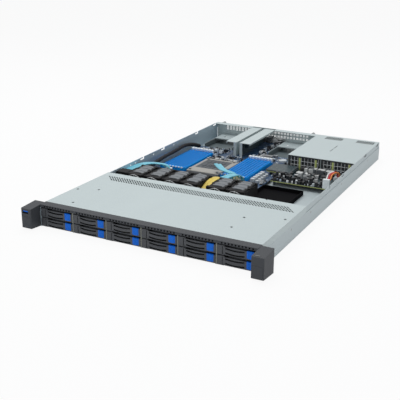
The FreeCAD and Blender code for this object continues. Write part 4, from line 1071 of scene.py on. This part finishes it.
wedges = [wedge(x) for x in lefts]
dress(joined("socket_wedges", wedges), latch_white, "root")
print(len(wedges), "wedges")


# %% Slots and latch caps
# Painted shade: a shallow strip of darker blue stands for the shade down in each socket's slot.
def socket_slot(x):
    slot = block("slot", (x + 2.5, x + 4.3), (389, 534), (20.45, 20.72))
    sink(slot, upward, 0.3, 0.1)
    return slot


def latch_cap(x):
    cap = block("cap", (x + 0.5, x + 6.3), (534.6, 542.0), (17.5, 23.2))
    sink(cap, upward, 1.2, 1.0)
    return soften(cap, 0.4, 1)


dress(joined("socket_slots", [socket_slot(x) for x in lefts]), slot_shade_blue, "root")
dress(joined("latch_caps", [latch_cap(x) for x in lefts]), latch_white, "dimm_latches")
print(len(lefts), "slots and caps")


# %% [markdown]
# ## Cables inside the case
# Power and signal leads run in gentle bends along the routes of the construction. Only the yellow
# lead, the first of the flat ones, arches higher. Each is one smooth spline that takes its route's
# points as control points, given a round or a flat section and then made a mesh. A flat lead is
# doubled, because such leads run in pairs.

# %% One smooth lead
def lead(name, points, radius, width=0.0, aside=0.0):
    """A cable of the given radius; with a width it is a flat lead lying level."""
    curve = bpy.data.curves.new(name, "CURVE")
    curve.dimensions = "3D"
    spline = curve.splines.new("NURBS")
    spline.points.add(len(points) - 1)
    for point, (x, y, z) in zip(spline.points, points):
        point.co = (*at(x + aside, y, z), 1)
        point.tilt = math.pi / 2 if width else 0
    spline.order_u = 3
    spline.use_endpoint_u = True
    spline.resolution_u = 8
    curve.twist_mode = "MINIMUM" if not width else "Z_UP"
    curve.extrude = width / 2 * MM
    curve.bevel_depth = radius * MM
    curve.bevel_resolution = 2
    curve.use_fill_caps = True
    piece = bpy.data.objects.new(name, curve)
    bpy.context.collection.objects.link(piece)
    activate(piece)
    bpy.ops.object.convert(target="MESH")
    return bpy.context.object


# %% Loom and flat leads
WALL = -217.4
GAP = -9.1
HEADER_Y = 369.0
loom = lead("front_loom", [(WALL + 14, 264, 24), (WALL + 14, 304, 24), (WALL + 20, 343, 23),
                           (WALL + 20, 392, 30), (WALL + 10, 487, 26), (WALL + 9, 550, 29),
                           (WALL + 17, 592, 12.8)], 4.3)
dress(loom, sleeve_black, "root", 60)
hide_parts("front_panel_cables")
RIBBONS = (
    [(GAP - 4, 250, 26), (GAP - 4, 262, 33), (GAP - 3, 286, 38), (GAP - 2, 316, 37), (GAP + 8, 346, 22),
     (GAP + 10, 363, 14.6)],
    [(GAP + 4, 250, 24), (GAP + 4, 266, 24), (GAP + 5, 312, 36), (GAP + 25, HEADER_Y, 35),
     (GAP + 25, HEADER_Y, 18.6)],
    [(GAP - 50, 409, 33), (GAP - 26, 381, 32), (GAP - 6, 373, 32), (GAP + 11, HEADER_Y, 29.6),
     (GAP + 11, HEADER_Y, 18.6)],
    [(WALL + 8, 264, 34), (WALL + 8, 324, 34), (WALL + 28, 345, 35), (-152, 353, 33), (-152, 353, 18.6)],
)
FINISHES = (lead_yellow, ribbon_cyan, ribbon_cyan, ribbon_cyan)
FLAT_RADIUS, FLAT_WIDTH, FLAT_ASIDE = 1.2, 6.4, 4.4
for number, (route, material) in enumerate(zip(RIBBONS, FINISHES), 1):
    halves = [lead("half", route, FLAT_RADIUS, FLAT_WIDTH, aside) for aside in (-FLAT_ASIDE, FLAT_ASIDE)]
    ribbon = joined("flat_lead_%d" % number, halves)
    dress(ribbon, material, "root", 60)
    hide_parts("front_panel_cables")
print("loom and", len(RIBBONS), "flat leads")

# %% Shells of the flat leads' plugs, and the insert of the left ear's port
LEAD_ENDS = ((-152, 353), (GAP + 18, HEADER_Y))
PLUG_HALF = (8, 3.4)


def lead_plug(x, y):
    wide, deep = PLUG_HALF
    shell = block("shell", (x - wide, x + wide), (y - deep, y + deep), (18.7, 27.5))
    sink(shell, upward, 1.1, 0.8)
    return soften(shell, 0.4, 1)


dress(joined("lead_plugs", [lead_plug(x, y) for x, y in LEAD_ENDS]), latch_white, "root")
insert = block("usb_insert", (-236.6, -225.7), (-32.2, -31.2), (34.9, 37.1))
sink(insert, frontward, 0.4, 0.3)
dress(insert, catch_blue, "root")
print("two plug shells and the insert of the left ear's port")


# %% Supply wires
WIRE_X = 199.0
FRONT_Y = 426.0
WIRE_RADIUS = 1.75
WIRES = ((0.0, wire_orange), (4.2, wire_red), (8.4, wire_white))
for number, (offset, material) in enumerate(WIRES, 1):
    x = WIRE_X - offset
    route = [(x - 6, FRONT_Y, 27), (x - 6, FRONT_Y + 10, 27), (x - 8, FRONT_Y + 26, 36),
             (x, FRONT_Y + 56, 33), (x, FRONT_Y + 56, 20.6)]
    wire = lead("supply_wire_%d" % number, route, WIRE_RADIUS)
    dress(wire, material, "root", 60)
    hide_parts("power_cables")


def plug(name, x, y, z):
    shell = block(name, x, y, z)
    sink(shell, upward, 0.8, 0.9)
    return soften(shell, 0.3, 1)


plugs = joined("supply_plugs", [plug("plug", (181.6, 196.0), (419, 426), (11.6, 32.0)),
                                plug("plug", (187.6, 202.0), (478, 486), (11.6, 20.6))])
dress(plugs, latch_white, "root")
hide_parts("power_cables")
print(len(WIRES), "wires and two plugs")


# %% [markdown]
# ## Fine perforation at the rear
# The vents in the rear wall are closed by finely perforated sheet. One cell with a square hole is
# arrayed across each vent and upwards, and Solidify gives the sheet its gauge.

# %% Perforated inserts
VENT_CELL = 2.5
VENT_BORDER = 0.42
VENT_GAUGE = 0.5


def perforated(x, z, y):
    """A perforated sheet between two places across and two heights."""
    deselect()
    middle = at(x[0] + VENT_CELL / 2, y, z[0] + VENT_CELL / 2)
    bpy.ops.mesh.primitive_plane_add(size=VENT_CELL * MM, location=middle, rotation=(math.pi / 2, 0, 0))
    cell = settle("vent")
    pick(cell, every)
    bpy.ops.mesh.inset(thickness=VENT_BORDER * MM, depth=0)
    bpy.ops.mesh.delete(type="FACE")
    leave()
    for axis, span in ((0, x), (2, z)):
        array = cell.modifiers.new("row", "ARRAY")
        array.count = int((span[1] - span[0]) / VENT_CELL)
        array.use_relative_offset = False
        array.use_constant_offset = True
        step = Vector((0, 0, 0))
        step[axis] = VENT_CELL * MM
        array.constant_offset_displace = step
        array.use_merge_vertices = True
        array.merge_threshold = WELD
        bpy.ops.object.modifier_apply(modifier=array.name)
    gauge = cell.modifiers.new("gauge", "SOLIDIFY")
    gauge.thickness = VENT_GAUGE * MM
    gauge.offset = 0
    bpy.ops.object.modifier_apply(modifier=gauge.name)
    return cell


VENTS = [((-190, -112), (25.7, 38.3)), ((-72, 44.6), (21.7, 36.8))]
inserts = joined("rear_perforation", [perforated(x, z, 728.8) for x, z in VENTS])
dress(inserts, zinc, "root", 30)
print("perforation,", len(inserts.data.polygons), "faces")


# %% Black films below the cage's roof slots, painted shade in the outlets
SUPPLY_LEFT = (64.5, 142.2)


# Each film is a black sheet under a supply's roof slots: painted shade that makes the outlets look dark.
def outlet_shade_film(name, left):
    film = block(name, (left + 24, left + 72), (694, 726), (40.75, 41.1))
    sink(film, upward, 1.0, 0.15)
    return film


for number, left in enumerate(SUPPLY_LEFT, 1):
    film = outlet_shade_film("supply_outlet_shade_%d" % number, left)
    dress(film, shade_black, "psu_%d" % number)
print("two outlets")


# %% [markdown]
# ## Front of the power supplies
# Through the gap ahead of the cage the supplies show their vented front: a grid of bright ribs on
# a dark face and two strips of pale green insulating tape. The ribs are bars with broken edges.

# %% Supply fronts
UPRIGHT_COUNT, UPRIGHT_PITCH = 9, 8.0
LEVEL_RIBS, LEVEL_THICK = (12.0, 21.0, 30.0), 0.9
TAPES, TAPE_WIDTH = (24, 62), 4.5
for number, left in enumerate(SUPPLY_LEFT, 1):
    ribs = []
    for step in range(UPRIGHT_COUNT):
        x = left + 5 + step * UPRIGHT_PITCH
        ribs.append(soften(block("rib", (x, x + 1.0), (526.2, 526.9), (3.0, 38.5)), 0.15, 1))
    for z in LEVEL_RIBS:
        rib = block("rib", (left + 4, left + 70), (526.1, 526.9), (z, z + LEVEL_THICK))
        ribs.append(soften(rib, 0.15, 1))
    dress(joined("supply_ribs_%d" % number, ribs), steel_bright, "psu_%d" % number)
    tapes = [soften(block("tape", (left + x, left + x + TAPE_WIDTH), (525.9, 526.6), (4.0, 38.0)), 0.2, 1)
             for x in TAPES]
    dress(joined("supply_tape_%d" % number, tapes), tape_green, "psu_%d" % number)
print("two supply fronts")


# %% [markdown]
# ## Bare edges of the power board
# Where a board is routed out of its panel the glass fibre shows as a yellow-green edge. Thin
# strips with broken edges run along the front and the left side of the power board and of the
# board above it. The sink on the upper board gets a dark plate with a sunk field.

# %% Board edges
MAIN_EDGE = (10.1, 11.5)
UPPER_EDGE = (15.1, 16.5)


def edge_strip(x, y, z):
    return soften(block("edge", x, y, z), 0.12, 1)


edges = [edge_strip((65.2, 206.8), (417.6, 418.4), MAIN_EDGE),
         edge_strip((64.6, 65.4), (418.2, 521.8), MAIN_EDGE),
         edge_strip((35.2, 92.8), (464.6, 465.4), UPPER_EDGE),
         edge_strip((34.6, 35.4), (465.2, 518.8), UPPER_EDGE)]
dress(joined("board_edges", edges), edge_green, "root")
plate = block("sink_plate", (33.8, 91.2), (465.8, 519.2), (16.8, 19.8))
sink(plate, upward, 4.0, 0.4)
dress(soften(plate, 0.5), cover_dark, "root")
print("four edges and the sink plate")
